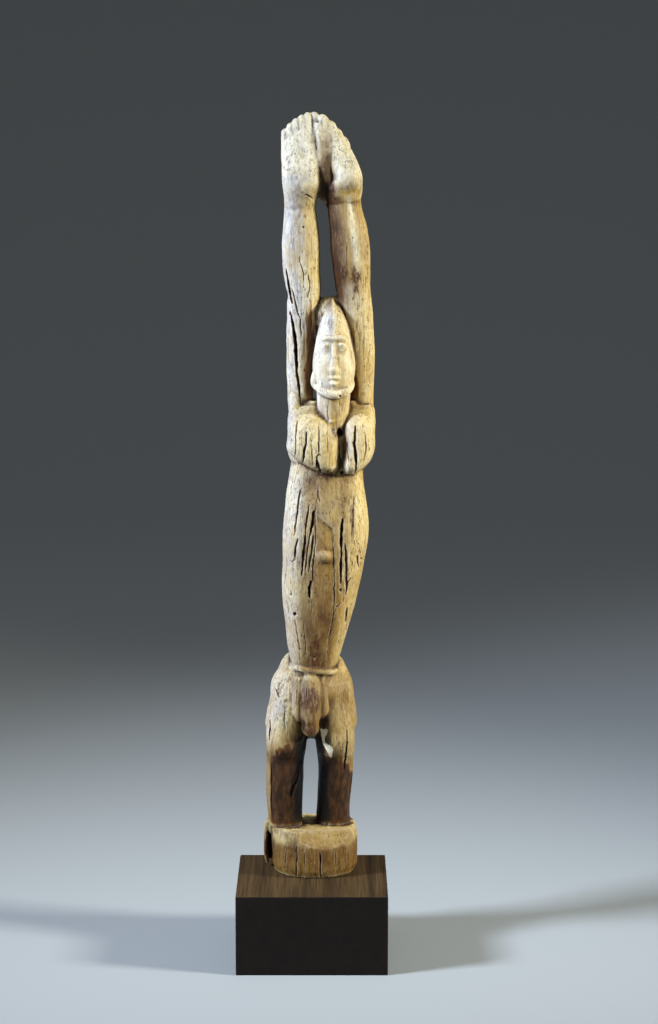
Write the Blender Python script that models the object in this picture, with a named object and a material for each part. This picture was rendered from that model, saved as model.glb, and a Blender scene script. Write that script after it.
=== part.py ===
"""Dogon figure with raised arms, carved from one log, on its wooden plinth block.

Metres, +Z up, the figure faces -Y. The origin is the centre of the plinth's underside.
"""

import math

import bmesh
import bpy
import numpy as np
from mathutils import Matrix, Vector

# Driving sizes, in metres
FIGURE_HEIGHT = 0.760
PLINTH_WIDTH = 0.150
PLINTH_DEPTH = 0.150
PLINTH_HEIGHT = 0.080
PLINTH_ARRIS = 0.0012
SET_BACK = 0.020
SEAT_GAP = 0.0003

# The carving is drawn in steps of its own height, from the middle of its underside.
# One step is 1 mm on a figure 760 mm tall.
HEIGHT_STEPS = 760
STEP = FIGURE_HEIGHT / HEIGHT_STEPS
ROW_GAP = 3.0
RING_SIDES = 40
UNDERCUT = 6.0
VOXEL = 1.8
SOFTEN_ROUNDS = 2
CREASE_ROUNDS = 8
FIGURE_TRIANGLES = 9400

# Rows of a loft: height, centre x, centre y, half width, half depth, squareness.
FOOT_BLOCK = [
    (-UNDERCUT, 2.5, 6, 37, 36, 2.2),
    (4, 2.5, 6, 41, 39.5, 2.2),
    (18, 2.5, 5.5, 43, 40, 2.2),
    (30, 2, 5.5, 43.5, 39.5, 2.3),
    (38, 1.5, 8, 43, 36, 2.3),
    (44, 1, 10, 41.5, 31, 2.3),
    (47, 1, 11, 37, 27, 2.3),
]
LEFT_LEG = [
    (38, -27, 5, 17, 17, 2.3),
    (62, -27.5, 3, 17, 18, 2.3),
    (83, -28, 1, 18, 20, 2.2),
    (104, -27.5, -1, 18.5, 21, 2.2),
    (118, -27, -3, 19, 22, 2.2),
    (127, -26.5, -6.5, 20, 26, 2.2),
    (136, -26, -7, 20.5, 27.5, 2.2),
    (152, -24.5, -3, 21, 29, 2.1),
    (176, -22, 2, 20, 28, 2.0),
    (196, -20, 5, 16, 23, 2.0),
]
RIGHT_LEG = [
    (38, 21, 13, 18, 16, 2.1),
    (62, 21, 11, 17, 17, 2.1),
    (83, 22.5, 8, 17, 19, 2.1),
    (104, 23.5, 5, 17.5, 21, 2.1),
    (118, 23.5, 3, 18.5, 22.5, 2.1),
    (128, 23.5, -1, 19.5, 26.5, 2.1),
    (138, 23, -3, 20, 28, 2.1),
    (152, 22, 0, 20.5, 29, 2.1),
    (176, 20.5, 4, 19.5, 28, 2.0),
    (196, 19, 6, 16, 23, 2.0),
]
HIPS = [
    (138, -1.5, 8, 34, 16, 2.3),
    (146, -1, 6, 44, 25, 2.3),
    (160, -0.5, 5, 45.5, 30, 2.3),
    (178, 0, 6, 42.5, 32, 2.2),
    (197, 0, 7, 39, 30, 2.2),
    (207, 0, 10, 34, 27, 2.1),
    (218, 0, 13, 28, 19, 2.0),
    (226, 0, 15, 18, 10, 2.0),
]
TORSO = [
    (196, 1.5, 1, 19, 19, 2.1),
    (210, 2, 0, 22, 22, 2.1),
    (219, 2.2, 0, 24.5, 24, 2.1),
    (229, 2.8, 0, 26.8, 26, 2.2),
    (258, 5.5, -2, 32.5, 29, 2.2),
    (289, 8, -3, 38, 32, 2.2),
    (319, 11.5, -4, 40.5, 34, 2.2),
    (345, 13.5, -4, 42.5, 34.5, 2.2),
    (370, 14, -3, 41, 33, 2.2),
    (390, 13.5, -1, 38.5, 30, 2.2),
    (404, 14, 0, 36.5, 28, 2.3),
    (418, 15, 1, 35, 27, 2.3),
]
SHOULDERS = [
    (407, 16, 5, 30, 22, 2.4),
    (415, 18, 4, 36.5, 27, 2.6),
    (428, 19, 2, 42.5, 31, 2.9),
    (446, 19.3, 2, 43, 31, 2.9),
    (462, 19.5, 4, 43, 29, 2.9),
    (472, 20, 6, 41, 25, 2.6),
    (479, 20, 8, 36, 19, 2.4),
]
LEFT_BREAST = [
    (410, 16, -22, 7, 9, 2.2),
    (415, 12.5, -21, 13.5, 16, 2.4),
    (422, 6.5, -20, 20, 20, 2.7),
    (431, 2, -19, 25.5, 22.5, 2.9),
    (446, 2, -18, 26, 23, 2.9),
    (459, 2.5, -16, 25, 21, 2.7),
    (468, 0, -11, 20, 17, 2.5),
    (475, -3, -6, 13, 11, 2.2),
]
RIGHT_BREAST = [
    (409, 37, -21, 6, 9, 2.2),
    (415, 40, -20, 10, 16, 2.4),
    (425, 44, -18, 14, 20, 2.6),
    (436, 46, -17, 15.5, 21.5, 2.6),
    (450, 46.5, -16, 15.5, 21.5, 2.6),
    (461, 46.8, -14, 15, 19.5, 2.6),
    (469, 47.8, -9, 12.5, 16, 2.4),
    (475, 48.8, -5, 9, 10, 2.2),
]
NECK = [
    (449, 24, -24, 3, 8, 2.0),
    (456, 21.5, -20, 11, 14, 2.0),
    (466, 21, -18, 14.5, 16.5, 2.0),
    (476, 21.2, -17, 15.8, 17.5, 2.0),
    (492, 21.5, -16, 16.5, 18, 2.0),
]
HEAD = [
    (484, 21.5, -17, 12, 17, 2.2),
    (491, 21.5, -17, 17, 21, 2.2),
    (503, 21.5, -16.5, 20, 23.5, 2.2),
    (517, 21.6, -16, 20.8, 24, 2.2),
    (530, 21.5, -15, 19, 23.5, 2.0),
    (543, 21.3, -14, 16.4, 22.5, 1.9),
    (555, 21.5, -12, 13.2, 20, 1.8),
    (566, 21.5, -10, 10, 16, 1.8),
    (575, 21, -8, 6.4, 11, 1.8),
    (583, 19.5, -6, 1.5, 3.5, 1.8),
]
HAIR = [
    (500, 20.5, 4, 17, 10, 2.4),
    (512, 20.5, 4, 22, 11.5, 2.8),
    (545, 20.5, 4, 22, 12, 2.8),
    (560, 21, 5, 20.5, 12, 2.5),
    (570, 21.3, 5, 16.5, 10.5, 2.2),
    (577, 20.5, 5, 10, 7, 2.1),
    (581, 19.5, 5, 3, 2.5, 2.0),
]
NOSE = [
    (509, 21.5, -38, 4.6, 5.0, 2.0),
    (512.5, 21.5, -38.5, 4.8, 6.0, 2.0),
    (520, 21.5, -38, 3.4, 5.2, 2.0),
    (532, 21.5, -36.5, 2.4, 4.2, 2.0),
    (545, 21.5, -33, 2.2, 4.0, 2.0),
    (560, 21.5, -27, 1.4, 3.2, 2.0),
]
LEFT_ARM = [
    (458, -9, 9, 13, 17, 2.3),
    (480, -11, 8, 12.5, 17, 2.3),
    (500, -11.5, 7, 13, 17, 2.3),
    (530, -10.5, 5, 14.5, 17.5, 2.3),
    (560, -9.5, 3, 15.5, 18, 2.3),
    (588, -8.3, 2, 17, 18.5, 2.3),
    (608, -10, 1, 18, 18.5, 2.3),
    (630, -10.5, 1, 19, 18, 2.3),
    (650, -10.7, 1, 17.5, 16.5, 2.2),
    (668, -11.5, 1, 15.5, 14.5, 2.2),
    (692, -12, 1, 15, 13, 2.2),
]
RIGHT_ARM = [
    (458, 50, 9, 11.5, 17, 2.2),
    (480, 49.5, 8, 11, 17, 2.2),
    (500, 49, 7, 12.5, 17, 2.2),
    (530, 47.5, 5, 14.5, 17.5, 2.2),
    (560, 44.5, 3, 16, 18, 2.2),
    (588, 41, 2, 17, 18.5, 2.2),
    (608, 39.5, 1, 18.5, 18.5, 2.1),
    (630, 37.8, 1, 19.5, 18, 2.1),
    (650, 36, 1, 18.3, 17, 2.1),
    (668, 32.5, 1, 17, 15, 2.1),
    (692, 31.5, 1, 16, 13, 2.1),
]
LEFT_PALM = [
    (670, -11.5, 0, 14, 12.5, 2.2),
    (679, -10.5, -3, 17, 15.5, 2.3),
    (690, -9.5, -4.5, 19, 17, 2.4),
    (703, -9.8, -3, 19.2, 15, 2.5),
    (715, -10.2, -0.5, 18.8, 12.5, 2.6),
    (723, -10.8, 1, 17.6, 9.5, 2.6),
    (729, -11, 2, 15, 6, 2.4),
]
RIGHT_PALM = [
    (672, 31.5, 1, 14.5, 13, 2.2),
    (680, 31.5, -3, 17.5, 16, 2.3),
    (691, 31, -4.5, 19.3, 17, 2.4),
    (703, 28.8, -3, 18.8, 15, 2.5),
    (715, 25.5, -0.5, 18.2, 12.5, 2.6),
    (725, 21.5, 1, 16.5, 9.5, 2.6),
    (733, 18, 2, 13, 6, 2.4),
]
PALM_WEB = [
    (672, 6.5, 5, 1.5, 4, 2.0),
    (680, 9.5, 4, 5, 8, 2.0),
    (690, 10.5, 2.5, 7, 10.5, 2.2),
    (716, 8, 2.5, 8, 10, 2.2),
    (738, 3, 2.5, 8, 7, 2.2),
]
SHAFT = [
    (146.5, -1.5, -32, 4, 5, 2.0),
    (150, -1.5, -31.5, 7.6, 8, 2.0),
    (160, -1.5, -30.5, 8.6, 9, 2.0),
    (164, -1.5, -30, 9.2, 10, 2.1),
    (182, -1.3, -27.5, 10, 10.5, 2.1),
    (199, -1, -23, 9.5, 9, 2.1),
    (208, -0.5, -18, 7, 6, 2.0),
]
LEFT_LOBE = [
    (160, -12, -25, 2.5, 5, 2.0),
    (165, -13.5, -25.5, 4.6, 7.5, 2.0),
    (182, -14.5, -24, 5.2, 8.5, 2.0),
    (204, -13, -17, 4, 6, 2.0),
]
RIGHT_LOBE = [
    (163, 9.5, -24, 2.2, 5, 2.0),
    (168, 11, -24.5, 4.2, 7.5, 2.0),
    (184, 11.5, -22.5, 4.8, 8.5, 2.0),
    (205, 10.5, -16, 3.8, 6, 2.0),
]

# Paths of a tube: x, y, z, radius.
BEARD = [
    (3, 2, 503, 3.6),
    (3.2, -12, 500, 4.6),
    (6.5, -27, 495, 5.0),
    (14, -36, 490.5, 5.0),
    (22, -39.5, 488.5, 4.8),
    (30, -36, 490.5, 4.6),
    (36.5, -27, 494, 4.4),
    (39.5, -12, 498, 4.0),
    (39.5, 2, 501, 3.4),
]
UPPER_LIP = [(17, -36.5, 505, 1.4), (21.5, -38.8, 505.8, 1.9), (26, -36.5, 505, 1.4)]
LOWER_LIP = [(17.8, -36.5, 500.8, 1.5), (21.5, -38.6, 500.2, 2.0), (25.2, -36.5, 500.8, 1.5)]
LEFT_SPLINTER = [(-45.5, 15, 5, 3), (-47, 16, 22, 3.6), (-45.5, 14, 44, 3), (-42, 10, 54, 2.5)]
LEFT_STRIP = [(-37, -4, 4, 3.5), (-40, -2, 26, 3.8), (-42.5, 0, 60, 3.6), (-43.5, 4, 105, 3)]
RIGHT_KNOB = [(41.5, 12, 22, 5), (42, 10, 38, 4.5), (39.5, 9, 48, 3.5)]

# Fingers from the little finger of one hand to that of the other:
# tip x, tip height, root x, half width.
FINGERS = [
    (-25.6, 744.5, -26.5, 3.4),
    (-20.6, 750.5, -20.6, 3.5),
    (-14.8, 755.5, -14.0, 3.6),
    (-9.4, 758.5, -7.4, 3.6),
    (-3.6, 760.5, -1.0, 3.8),
    (3.0, 761.5, 5.4, 4.2),
    (10.4, 758.5, 12.0, 4.8),
    (18.0, 752.5, 19.5, 4.8),
    (25.2, 744.5, 27.0, 4.8),
    (31.4, 737.5, 34.0, 4.6),
]
FINGER_ROOT_HEIGHT = 706

# Ellipsoids: centre x, y, z and half sizes along them.
NAVEL = ((11.3, -36.5, 327), (6, 5, 5.5))
EYES = [((14, -35, 534.5), (4.0, 2.8, 2.3)), ((29, -35, 534.5), (4.0, 2.8, 2.3))]
BUTTOCKS = [((-20, 23, 180), (23, 20, 30)), ((20, 24, 180), (22, 20, 30))]

# The cord round the waist: height, centre x, centre y, half width, half depth, radius.
BELT = (210.5, 2, -1, 21.8, 22.5, 3.0)
BELT_LEAN = 0.14

# Splits in the wood and carved lines, seen from the front or the back: x and height
# of each point, then half width and depth. The splits follow the grain.
FRONT_SPLITS = [
    ([(-31, 632), (-25, 600), (-19, 560), (-14, 505)], 1.8, 6.0),
    ([(-4.5, 375), (-7, 340), (-9, 300)], 1.6, 4.0),
    ([(2.5, 372), (-1.5, 345), (-4, 285)], 1.8, 4.0),
    ([(29.5, 370), (30, 342), (34, 292)], 2.0, 5.0),
    ([(40, 382), (41.5, 345)], 3.0, 2.5),
    ([(-15, 462), (-17, 428)], 1.3, 3.0),
    ([(-5.5, 450), (-9, 420)], 1.6, 5.0),
    ([(7, 464), (7.5, 440), (8.5, 410)], 1.8, 5.0),
    ([(42.5, 458), (41.5, 440), (42.5, 412)], 2.2, 5.5),
    ([(26, 458), (28, 430), (29.5, 407)], 2.4, 8.0),
    ([(-15, 40), (-16, 0)], 1.6, 2.5),
    ([(-7, 36), (-6, 0)], 1.6, 2.5),
    ([(8, 34), (9, 0)], 1.8, 2.5),
    ([(-14, 205), (-19.5, 185), (-19, 165), (-10, 155)], 2.0, 4.0),
    ([(14, 205), (18, 185), (17, 165), (9, 157)], 2.0, 4.0),
    ([(-10.5, 102), (-16, 84), (-19, 70)], 3.0, 4.0),
    ([(36, 150), (35, 125)], 1.6, 3.0),
]
FACE_LINES = [
    ([(9, 538), (13.5, 539.5), (18, 538)], 2.2, 2.0),
    ([(25, 538), (29.5, 539.5), (34, 538)], 2.2, 2.0),
    ([(17, 503), (26, 503)], 1.2, 1.6),
]
BACK_SPLITS = [
    ([(12, 455), (12, 400), (9, 330), (4, 240)], 4.5, 4.0),
    ([(0, 205), (-1, 150)], 3.0, 6.0),
    ([(-6, 430), (-9, 360), (-8, 300)], 1.8, 3.5),
    ([(33, 400), (35, 340), (30, 290)], 1.8, 3.5),
    ([(22, 560), (22, 500)], 2.5, 2.5),
]


def clear_scene():
    """Removes every object of the scene."""
    for old in list(bpy.data.objects):
        bpy.data.objects.remove(old, do_unlink=True)


def through(knots, gap):
    """Points about gap apart, on a smooth curve through the knots; column 0 is the parameter."""
    knots = np.array(knots, float)
    at = knots[:, 0]
    slopes = np.gradient(knots, at, axis=0)
    count = max(3, math.ceil((at[-1] - at[0]) / gap) + 1)
    rows = []
    for value in np.linspace(at[0], at[-1], count):
        i = min(int(np.searchsorted(at, value, side="right")) - 1, len(at) - 2)
        span = at[i + 1] - at[i]
        t = (value - at[i]) / span
        rows.append(
            (2 * t**3 - 3 * t**2 + 1) * knots[i]
            + (t**3 - 2 * t**2 + t) * span * slopes[i]
            + (3 * t**2 - 2 * t**3) * knots[i + 1]
            + (t**3 - t**2) * span * slopes[i + 1]
        )
    return np.array(rows)


def skin(clay, rings):
    """Adds the closed skin over a list of rings of points to the clay mesh."""
    made = [[clay.verts.new(point) for point in ring] for ring in rings]
    for low, high in zip(made, made[1:]):
        for i in range(len(low)):
            k = (i + 1) % len(low)
            clay.faces.new((low[i], low[k], high[k], high[i]))
    clay.faces.new(list(reversed(made[0])))
    clay.faces.new(made[-1])


def loft(clay, stations):
    """Adds a closed form with level rings that are rounded squares."""
    angles = np.linspace(0, 2 * math.pi, RING_SIDES, endpoint=False)
    cos, sin = np.cos(angles), np.sin(angles)
    rings = []
    for z, x, y, wide, deep, square in through(stations, ROW_GAP):
        across = np.sign(cos) * np.abs(cos) ** (2 / square)
        along = np.sign(sin) * np.abs(sin) ** (2 / square)
        rings.append([Vector((x + wide * c, y + deep * s, z)) for c, s in zip(across, along)])
    skin(clay, rings)


def tube(clay, path, sides=16):
    """Adds a round-ended tube along a smooth curve through the path's points."""
    path = np.array(path, float)
    steps = np.linalg.norm(np.diff(path[:, :3], axis=0), axis=1)
    along = np.concatenate([[0], np.cumsum(steps)])
    rows = through(np.column_stack([along, path]), ROW_GAP)
    centres = [Vector(row[1:4]) for row in rows]
    radii = list(rows[:, 4])
    first = (centres[0] - centres[1]).normalized()
    last = (centres[-1] - centres[-2]).normalized()
    for share in (0.55, 0.87, 0.98):
        shrink = math.sqrt(1 - share**2)
        centres.insert(0, Vector(rows[0][1:4]) + first * rows[0][4] * share)
        radii.insert(0, rows[0][4] * shrink)
        centres.append(Vector(rows[-1][1:4]) + last * rows[-1][4] * share)
        radii.append(rows[-1][4] * shrink)
    side = (centres[1] - centres[0]).orthogonal().normalized()
    rings = []
    for i, (centre, radius) in enumerate(zip(centres, radii)):
        ahead = (centres[min(i + 1, len(centres) - 1)] - centres[max(i - 1, 0)]).normalized()
        side = (side - ahead * side.dot(ahead)).normalized()
        up = ahead.cross(side)
        turns = [2 * math.pi * k / sides for k in range(sides)]
        rings.append([centre + (side * math.cos(a) + up * math.sin(a)) * radius for a in turns])
    skin(clay, rings)


def ellipsoid(clay, centre, halves):
    """Adds an ellipsoid."""
    place = Matrix.Translation(centre) @ Matrix.Diagonal((*halves, 1))
    bmesh.ops.create_uvsphere(clay, u_segments=20, v_segments=12, radius=1, matrix=place)


def belt(clay):
    """Adds the cord round the waist, a little higher on one side."""
    z, x, y, wide, deep, radius = BELT
    rings = []
    for k in range(RING_SIDES + 1):
        turn = 2 * math.pi * k / RING_SIDES
        out = Vector((math.cos(turn), math.sin(turn), 0))
        centre = Vector((x + wide * out.x, y + deep * out.y, z - BELT_LEAN * wide * out.x))
        across = [2 * math.pi * i / 12 for i in range(12)]
        rings.append([centre + (out * math.cos(a) + Vector((0, 0, math.sin(a)))) * radius for a in across])
    made = [[clay.verts.new(point) for point in ring] for ring in rings[:-1]]
    for k, ring in enumerate(made):
        after = made[(k + 1) % len(made)]
        for i in range(len(ring)):
            j = (i + 1) % len(ring)
            clay.faces.new((ring[i], after[i], after[j], ring[j]))


def fingers(clay):
    """Adds the ten raised fingers side by side, thinner towards their tips."""
    for tip_x, tip_z, root_x, wide in FINGERS:
        rise = tip_z - FINGER_ROOT_HEIGHT
        rows = []
        for share, y, deep, narrow in ((0, -1, 12, 0.9), (0.5, 1, 9, 1), (0.84, 2.5, 6.5, 1)):
            x = root_x + (tip_x - root_x) * share
            rows.append((FINGER_ROOT_HEIGHT + rise * share, x, y, wide * narrow, deep, 2.0))
        rows.append((tip_z - 2, tip_x, 3, wide * 0.85, 4.5, 2.0))
        rows.append((tip_z, tip_x, 3, wide * 0.35, 1.5, 2.0))
        loft(clay, rows)


def rough_form():
    """All the masses of the carving, overlapping one another."""
    clay = bmesh.new()
    lofts = (FOOT_BLOCK, LEFT_LEG, RIGHT_LEG, HIPS, TORSO, SHOULDERS, LEFT_BREAST, RIGHT_BREAST)
    lofts += (NECK, HEAD, HAIR, NOSE, LEFT_ARM, RIGHT_ARM, LEFT_PALM, RIGHT_PALM, PALM_WEB)
    lofts += (SHAFT, LEFT_LOBE, RIGHT_LOBE)
    for stations in lofts:
        loft(clay, stations)
    for path in (BEARD, UPPER_LIP, LOWER_LIP, LEFT_SPLINTER, LEFT_STRIP, RIGHT_KNOB):
        tube(clay, path)
    for centre, halves in (NAVEL, *EYES, *BUTTOCKS):
        ellipsoid(clay, centre, halves)
    belt(clay)
    fingers(clay)
    bmesh.ops.recalc_face_normals(clay, faces=clay.faces)
    return clay


def evaluated(clay, modifiers):
    """The mesh that the modifiers make of the clay: (type, settings) for each."""
    mesh = bpy.data.meshes.new("clay")
    clay.to_mesh(mesh)
    clay.free()
    holder = bpy.data.objects.new("clay", mesh)
    bpy.context.scene.collection.objects.link(holder)
    for kind, settings in modifiers:
        modifier = holder.modifiers.new(kind, kind)
        for key, value in settings.items():
            setattr(modifier, key, value)
    graph = bpy.context.evaluated_depsgraph_get()
    made = bpy.data.meshes.new_from_object(holder.evaluated_get(graph))
    bpy.data.objects.remove(holder)
    return made


def positions(mesh):
    """The mesh's points as rows of x, y, z."""
    points = np.empty(len(mesh.vertices) * 3)
    mesh.vertices.foreach_get("co", points)
    return points.reshape(-1, 3)


def soften_creases(mesh, rounds):
    """Rounds the hollows between masses, and leaves ridges as they are."""
    edges = np.empty(len(mesh.edges) * 2, int)
    mesh.edges.foreach_get("vertices", edges)
    ends = edges.reshape(-1, 2)
    points = positions(mesh)
    count = len(points)
    degree = np.bincount(edges, minlength=count)[:, None]
    for _ in range(rounds):
        normals = np.array([v.normal for v in mesh.vertices])
        total = np.zeros_like(points)
        for axis in range(3):
            total[:, axis] = np.bincount(ends[:, 0], points[ends[:, 1], axis], count)
            total[:, axis] += np.bincount(ends[:, 1], points[ends[:, 0], axis], count)
        shift = total / degree - points
        hollow = (shift * normals).sum(axis=1) > 0.02
        points[hollow] += shift[hollow] * 0.7
        mesh.vertices.foreach_set("co", points.ravel())
        mesh.update()


def distance_to(path, x, z):
    """Distance in the x-z plane from each point to the path, and how far along it the nearest point is."""
    path = np.array(path, float)
    best = np.full(len(x), np.inf)
    share = np.zeros(len(x))
    for k, (start, end) in enumerate(zip(path, path[1:])):
        leg = end - start
        t = ((x - start[0]) * leg[0] + (z - start[1]) * leg[1]) / (leg @ leg)
        t = np.clip(t, 0, 1)
        away = np.hypot(x - start[0] - t * leg[0], z - start[1] - t * leg[1])
        nearer = away < best
        best = np.where(nearer, away, best)
        share = np.where(nearer, (k + t) / (len(path) - 1), share)
    return best, share


def cut_splits(mesh, splits, facing):
    """Sinks splits and lines into the side of the carving that faces -Y (facing -1) or +Y (facing 1)."""
    points = positions(mesh)
    normals = np.array([v.normal for v in mesh.vertices])
    weight = np.clip(normals[:, 1] * facing * 2.5, 0, 1)
    for path, half_width, depth in splits:
        away, share = distance_to(path, points[:, 0], points[:, 2])
        taper = np.clip(np.minimum(share, 1 - share) * 7, 0, 1) ** 0.5
        sink = depth * taper * weight * np.clip(1.25 - away / (half_width * 1.4), 0, 1)
        points[:, 1] -= sink * facing
    mesh.vertices.foreach_set("co", points.ravel())


def flat_underside(mesh):
    """Cuts the carving off level at height 0, and closes the cut."""
    clay = bmesh.new()
    clay.from_mesh(mesh)
    everything = clay.verts[:] + clay.edges[:] + clay.faces[:]
    cut = bmesh.ops.bisect_plane(
        clay, geom=everything, plane_co=(0, 0, 0), plane_no=(0, 0, 1), clear_inner=True
    )
    rim = [part for part in cut["geom_cut"] if isinstance(part, bmesh.types.BMEdge)]
    bmesh.ops.holes_fill(clay, edges=rim)
    bmesh.ops.triangulate(clay, faces=clay.faces[:])
    return clay


def wood(name, colour, roughness):
    """A plain wood material."""
    made = bpy.data.materials.new(name)
    made.use_nodes = True
    shader = made.node_tree.nodes["Principled BSDF"]
    shader.inputs["Base Color"].default_value = (*colour, 1)
    shader.inputs["Roughness"].default_value = roughness
    shader.inputs["Metallic"].default_value = 0
    return made


def add_node(name, mesh, material):
    """Links a mesh to the scene as a named object."""
    mesh.materials.clear()
    mesh.materials.append(material)
    node = bpy.data.objects.new(name, mesh)
    bpy.context.scene.collection.objects.link(node)
    return node


def build_figure():
    """The carving: fused masses, splits, a flat underside and few triangles."""
    remesh = ("REMESH", {"mode": "VOXEL", "voxel_size": VOXEL})
    soften = ("SMOOTH", {"factor": 0.5, "iterations": SOFTEN_ROUNDS})
    carved = evaluated(rough_form(), [remesh, soften])
    soften_creases(carved, CREASE_ROUNDS)
    cut_splits(carved, FRONT_SPLITS + FACE_LINES, -1)
    cut_splits(carved, BACK_SPLITS, 1)
    whole = flat_underside(carved)
    share = FIGURE_TRIANGLES / len(whole.faces)
    mesh = evaluated(whole, [("DECIMATE", {"ratio": share, "use_collapse_triangulate": True})])
    mesh.transform(Matrix.Scale(STEP, 4))
    mesh.shade_smooth()
    mesh.set_sharp_from_angle(angle=math.radians(50))
    figure = add_node("figure", mesh, wood("weathered_wood", (0.50, 0.40, 0.25), 0.75))
    figure.location = (0, SET_BACK, PLINTH_HEIGHT + SEAT_GAP)
    return figure


def build_plinth():
    """The block that the figure stands on, with worn arrises."""
    block = bmesh.new()
    bmesh.ops.create_cube(block, size=1)
    bmesh.ops.scale(block, vec=(PLINTH_WIDTH, PLINTH_DEPTH, PLINTH_HEIGHT), verts=block.verts)
    bmesh.ops.translate(block, vec=(0, 0, PLINTH_HEIGHT / 2), verts=block.verts)
    mesh = bpy.data.meshes.new("plinth")
    block.to_mesh(mesh)
    block.free()
    plinth = add_node("plinth", mesh, wood("dark_stained_wood", (0.045, 0.03, 0.022), 0.5))
    arris = plinth.modifiers.new("arris", "BEVEL")
    arris.width = PLINTH_ARRIS
    arris.segments = 2
    return plinth


def main():
    clear_scene()
    build_plinth()
    build_figure()


main()
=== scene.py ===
"""Looks of the carved figure and its plinth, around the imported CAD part."""

import math

import bmesh
import bpy
import numpy as np
from mathutils import Matrix, Vector


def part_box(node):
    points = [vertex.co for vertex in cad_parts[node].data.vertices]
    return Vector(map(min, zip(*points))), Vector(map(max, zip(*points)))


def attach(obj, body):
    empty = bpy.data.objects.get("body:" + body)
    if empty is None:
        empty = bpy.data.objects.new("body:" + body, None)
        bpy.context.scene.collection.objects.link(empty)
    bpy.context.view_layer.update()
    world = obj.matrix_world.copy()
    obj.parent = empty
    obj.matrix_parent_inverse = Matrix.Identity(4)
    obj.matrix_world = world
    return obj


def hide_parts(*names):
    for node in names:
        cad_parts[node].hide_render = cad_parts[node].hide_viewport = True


# Sizes in metres
STEP = 0.001
SET_BACK = 0.020
CAMERA_PLACE = (0.0169, -2.541, 0.828)
CAMERA_TILT = math.radians(8.45)
CAMERA_LENS = 91.4
CAMERA_SENSOR = 36
# The floor reaches this far to each side and to the front, and this far back to the wall's bend.
FLOOR_REACH = 16.0
FLOOR_BACK = 2.8
WALL_BEND = 2.5
WALL_TOP = 5.0
PAPER_COLOUR = (0.40, 0.43, 0.46, 1)
ROOM_COLOUR = (0.97, 1.0, 0.97, 1)
ROOM_STRENGTH = 0.13
# Lights: name, place, size, spread in degrees, watts, colour; and the place they are aimed at.
LIGHTS = [
    ("key", (-2.1, -0.85, 1.6), 0.5, 50, 10.5, (0.80, 0.88, 1.0)),
    ("fill", (2.1, -0.6, 1.2), 0.4, 50, 7, (1.0, 0.99, 0.86)),
    ("room", (0.0, 0.6, 3.6), 2.4, 160, 9, (0.96, 0.98, 1.0)),
]
LIGHT_AIM = (0, 0, 0.45)
# How strong the bump of each wood is, in metres.
FIGURE_RELIEF = 0.0007
PLINTH_RELIEF = 0.0003
# The numbers of a colour mix node's sockets.
MIX_FIRST = 6
MIX_SECOND = 7
MIX_RESULT = 2

# The carving is drawn in steps of 1 mm from the middle of its underside.
ROW_GAP = 2.0
RING_SIDES = 64
UNDERCUT = 6.0
VOXEL = 0.95
SOFTEN_ROUNDS = 3
CREASE_ROUNDS = 5
CREASE_SHARE = 0.7
LEAST_CREASE = 0.01
MOST_TRIANGLES = 194000
FACE_MIDDLE = 21.5
TUBE_SIDES = 20
# Where the rings of a tube's rounded ends sit, as shares of its radius.
TUBE_END_SHARES = (0.55, 0.87, 0.98)

# Rows of a loft: height, centre x, centre y, half width, half depth, squareness if not 2.
FOOT_BLOCK = [
    (-UNDERCUT, 2.5, 6, 34, 34, 2.2), (0, 2.5, 6, 38.5, 37.5, 2.2), (5, 2.5, 6, 41.5, 39.8, 2.2),
    (18, 2.5, 5.5, 43, 40, 2.2), (30, 2, 5.5, 43.5, 39.5, 2.3), (42, 1.5, 6, 43, 38, 2.3),
    (47, 1, 6, 41.5, 36.5, 2.3),
]
# The slanting facet in front of the feet falls with x and towards the front.
BLOCK_TOP = 47
FACET_FALL = (0.2, -1.2, -25.6)
FACET_LEFT = -14
LEFT_LEG = [
    (38, -27, 5, 17, 17, 2.3), (62, -27.5, 3, 17, 18, 2.3), (83, -28, 1, 18, 20, 2.2),
    (104, -27.5, -1, 18.5, 21, 2.2), (118, -27, -3, 19, 22, 2.2), (127, -26.5, -6.5, 20, 26, 2.2),
    (136, -26, -7, 20.5, 27.5, 2.2), (152, -24.5, -3, 21, 29, 2.1), (176, -22, 2, 20, 28),
    (196, -20, 5, 16, 23),
]
RIGHT_LEG = [
    (38, 21, 13, 18, 16, 2.1), (62, 21, 11, 17, 17, 2.1), (83, 22.5, 8, 17, 19, 2.1),
    (104, 23.5, 5, 17.5, 21, 2.1), (118, 23.5, 3, 18.5, 22.5, 2.1),
    (128, 23.5, -1, 19.5, 26.5, 2.1), (138, 23, -3, 20, 28, 2.1), (152, 22, 0, 20.5, 29, 2.1),
    (176, 20.5, 4, 19.5, 28), (196, 19, 6, 16, 23),
]
HIPS = [
    (138, -1.5, 8, 34, 16, 2.3), (146, -1, 6, 44, 25, 2.3), (160, -0.5, 5, 45.5, 30, 2.3),
    (178, 0, 6, 42.5, 32, 2.2), (197, 0, 7, 39, 30, 2.2), (207, 0, 10, 34, 27, 2.1),
    (218, 0, 13, 28, 19), (226, 0, 15, 18, 10),
]
TORSO = [
    (196, 1.5, 1, 19, 19, 2.1), (210, 2, 0, 22, 22, 2.1), (219, 2.2, 0, 24.5, 24, 2.1),
    (229, 2.8, 0, 26.8, 26, 2.2), (258, 5.5, -2, 32.5, 29, 2.2), (289, 8, -3, 38, 32, 2.2),
    (319, 11.5, -4, 40.5, 34, 2.2), (345, 13.5, -4, 42.5, 34.5, 2.2), (370, 14, -3, 41, 33, 2.2),
    (390, 13.5, -1, 38.5, 30, 2.2), (404, 14, 0, 36.5, 28, 2.3), (418, 15, 1, 35, 27, 2.3),
]
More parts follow.
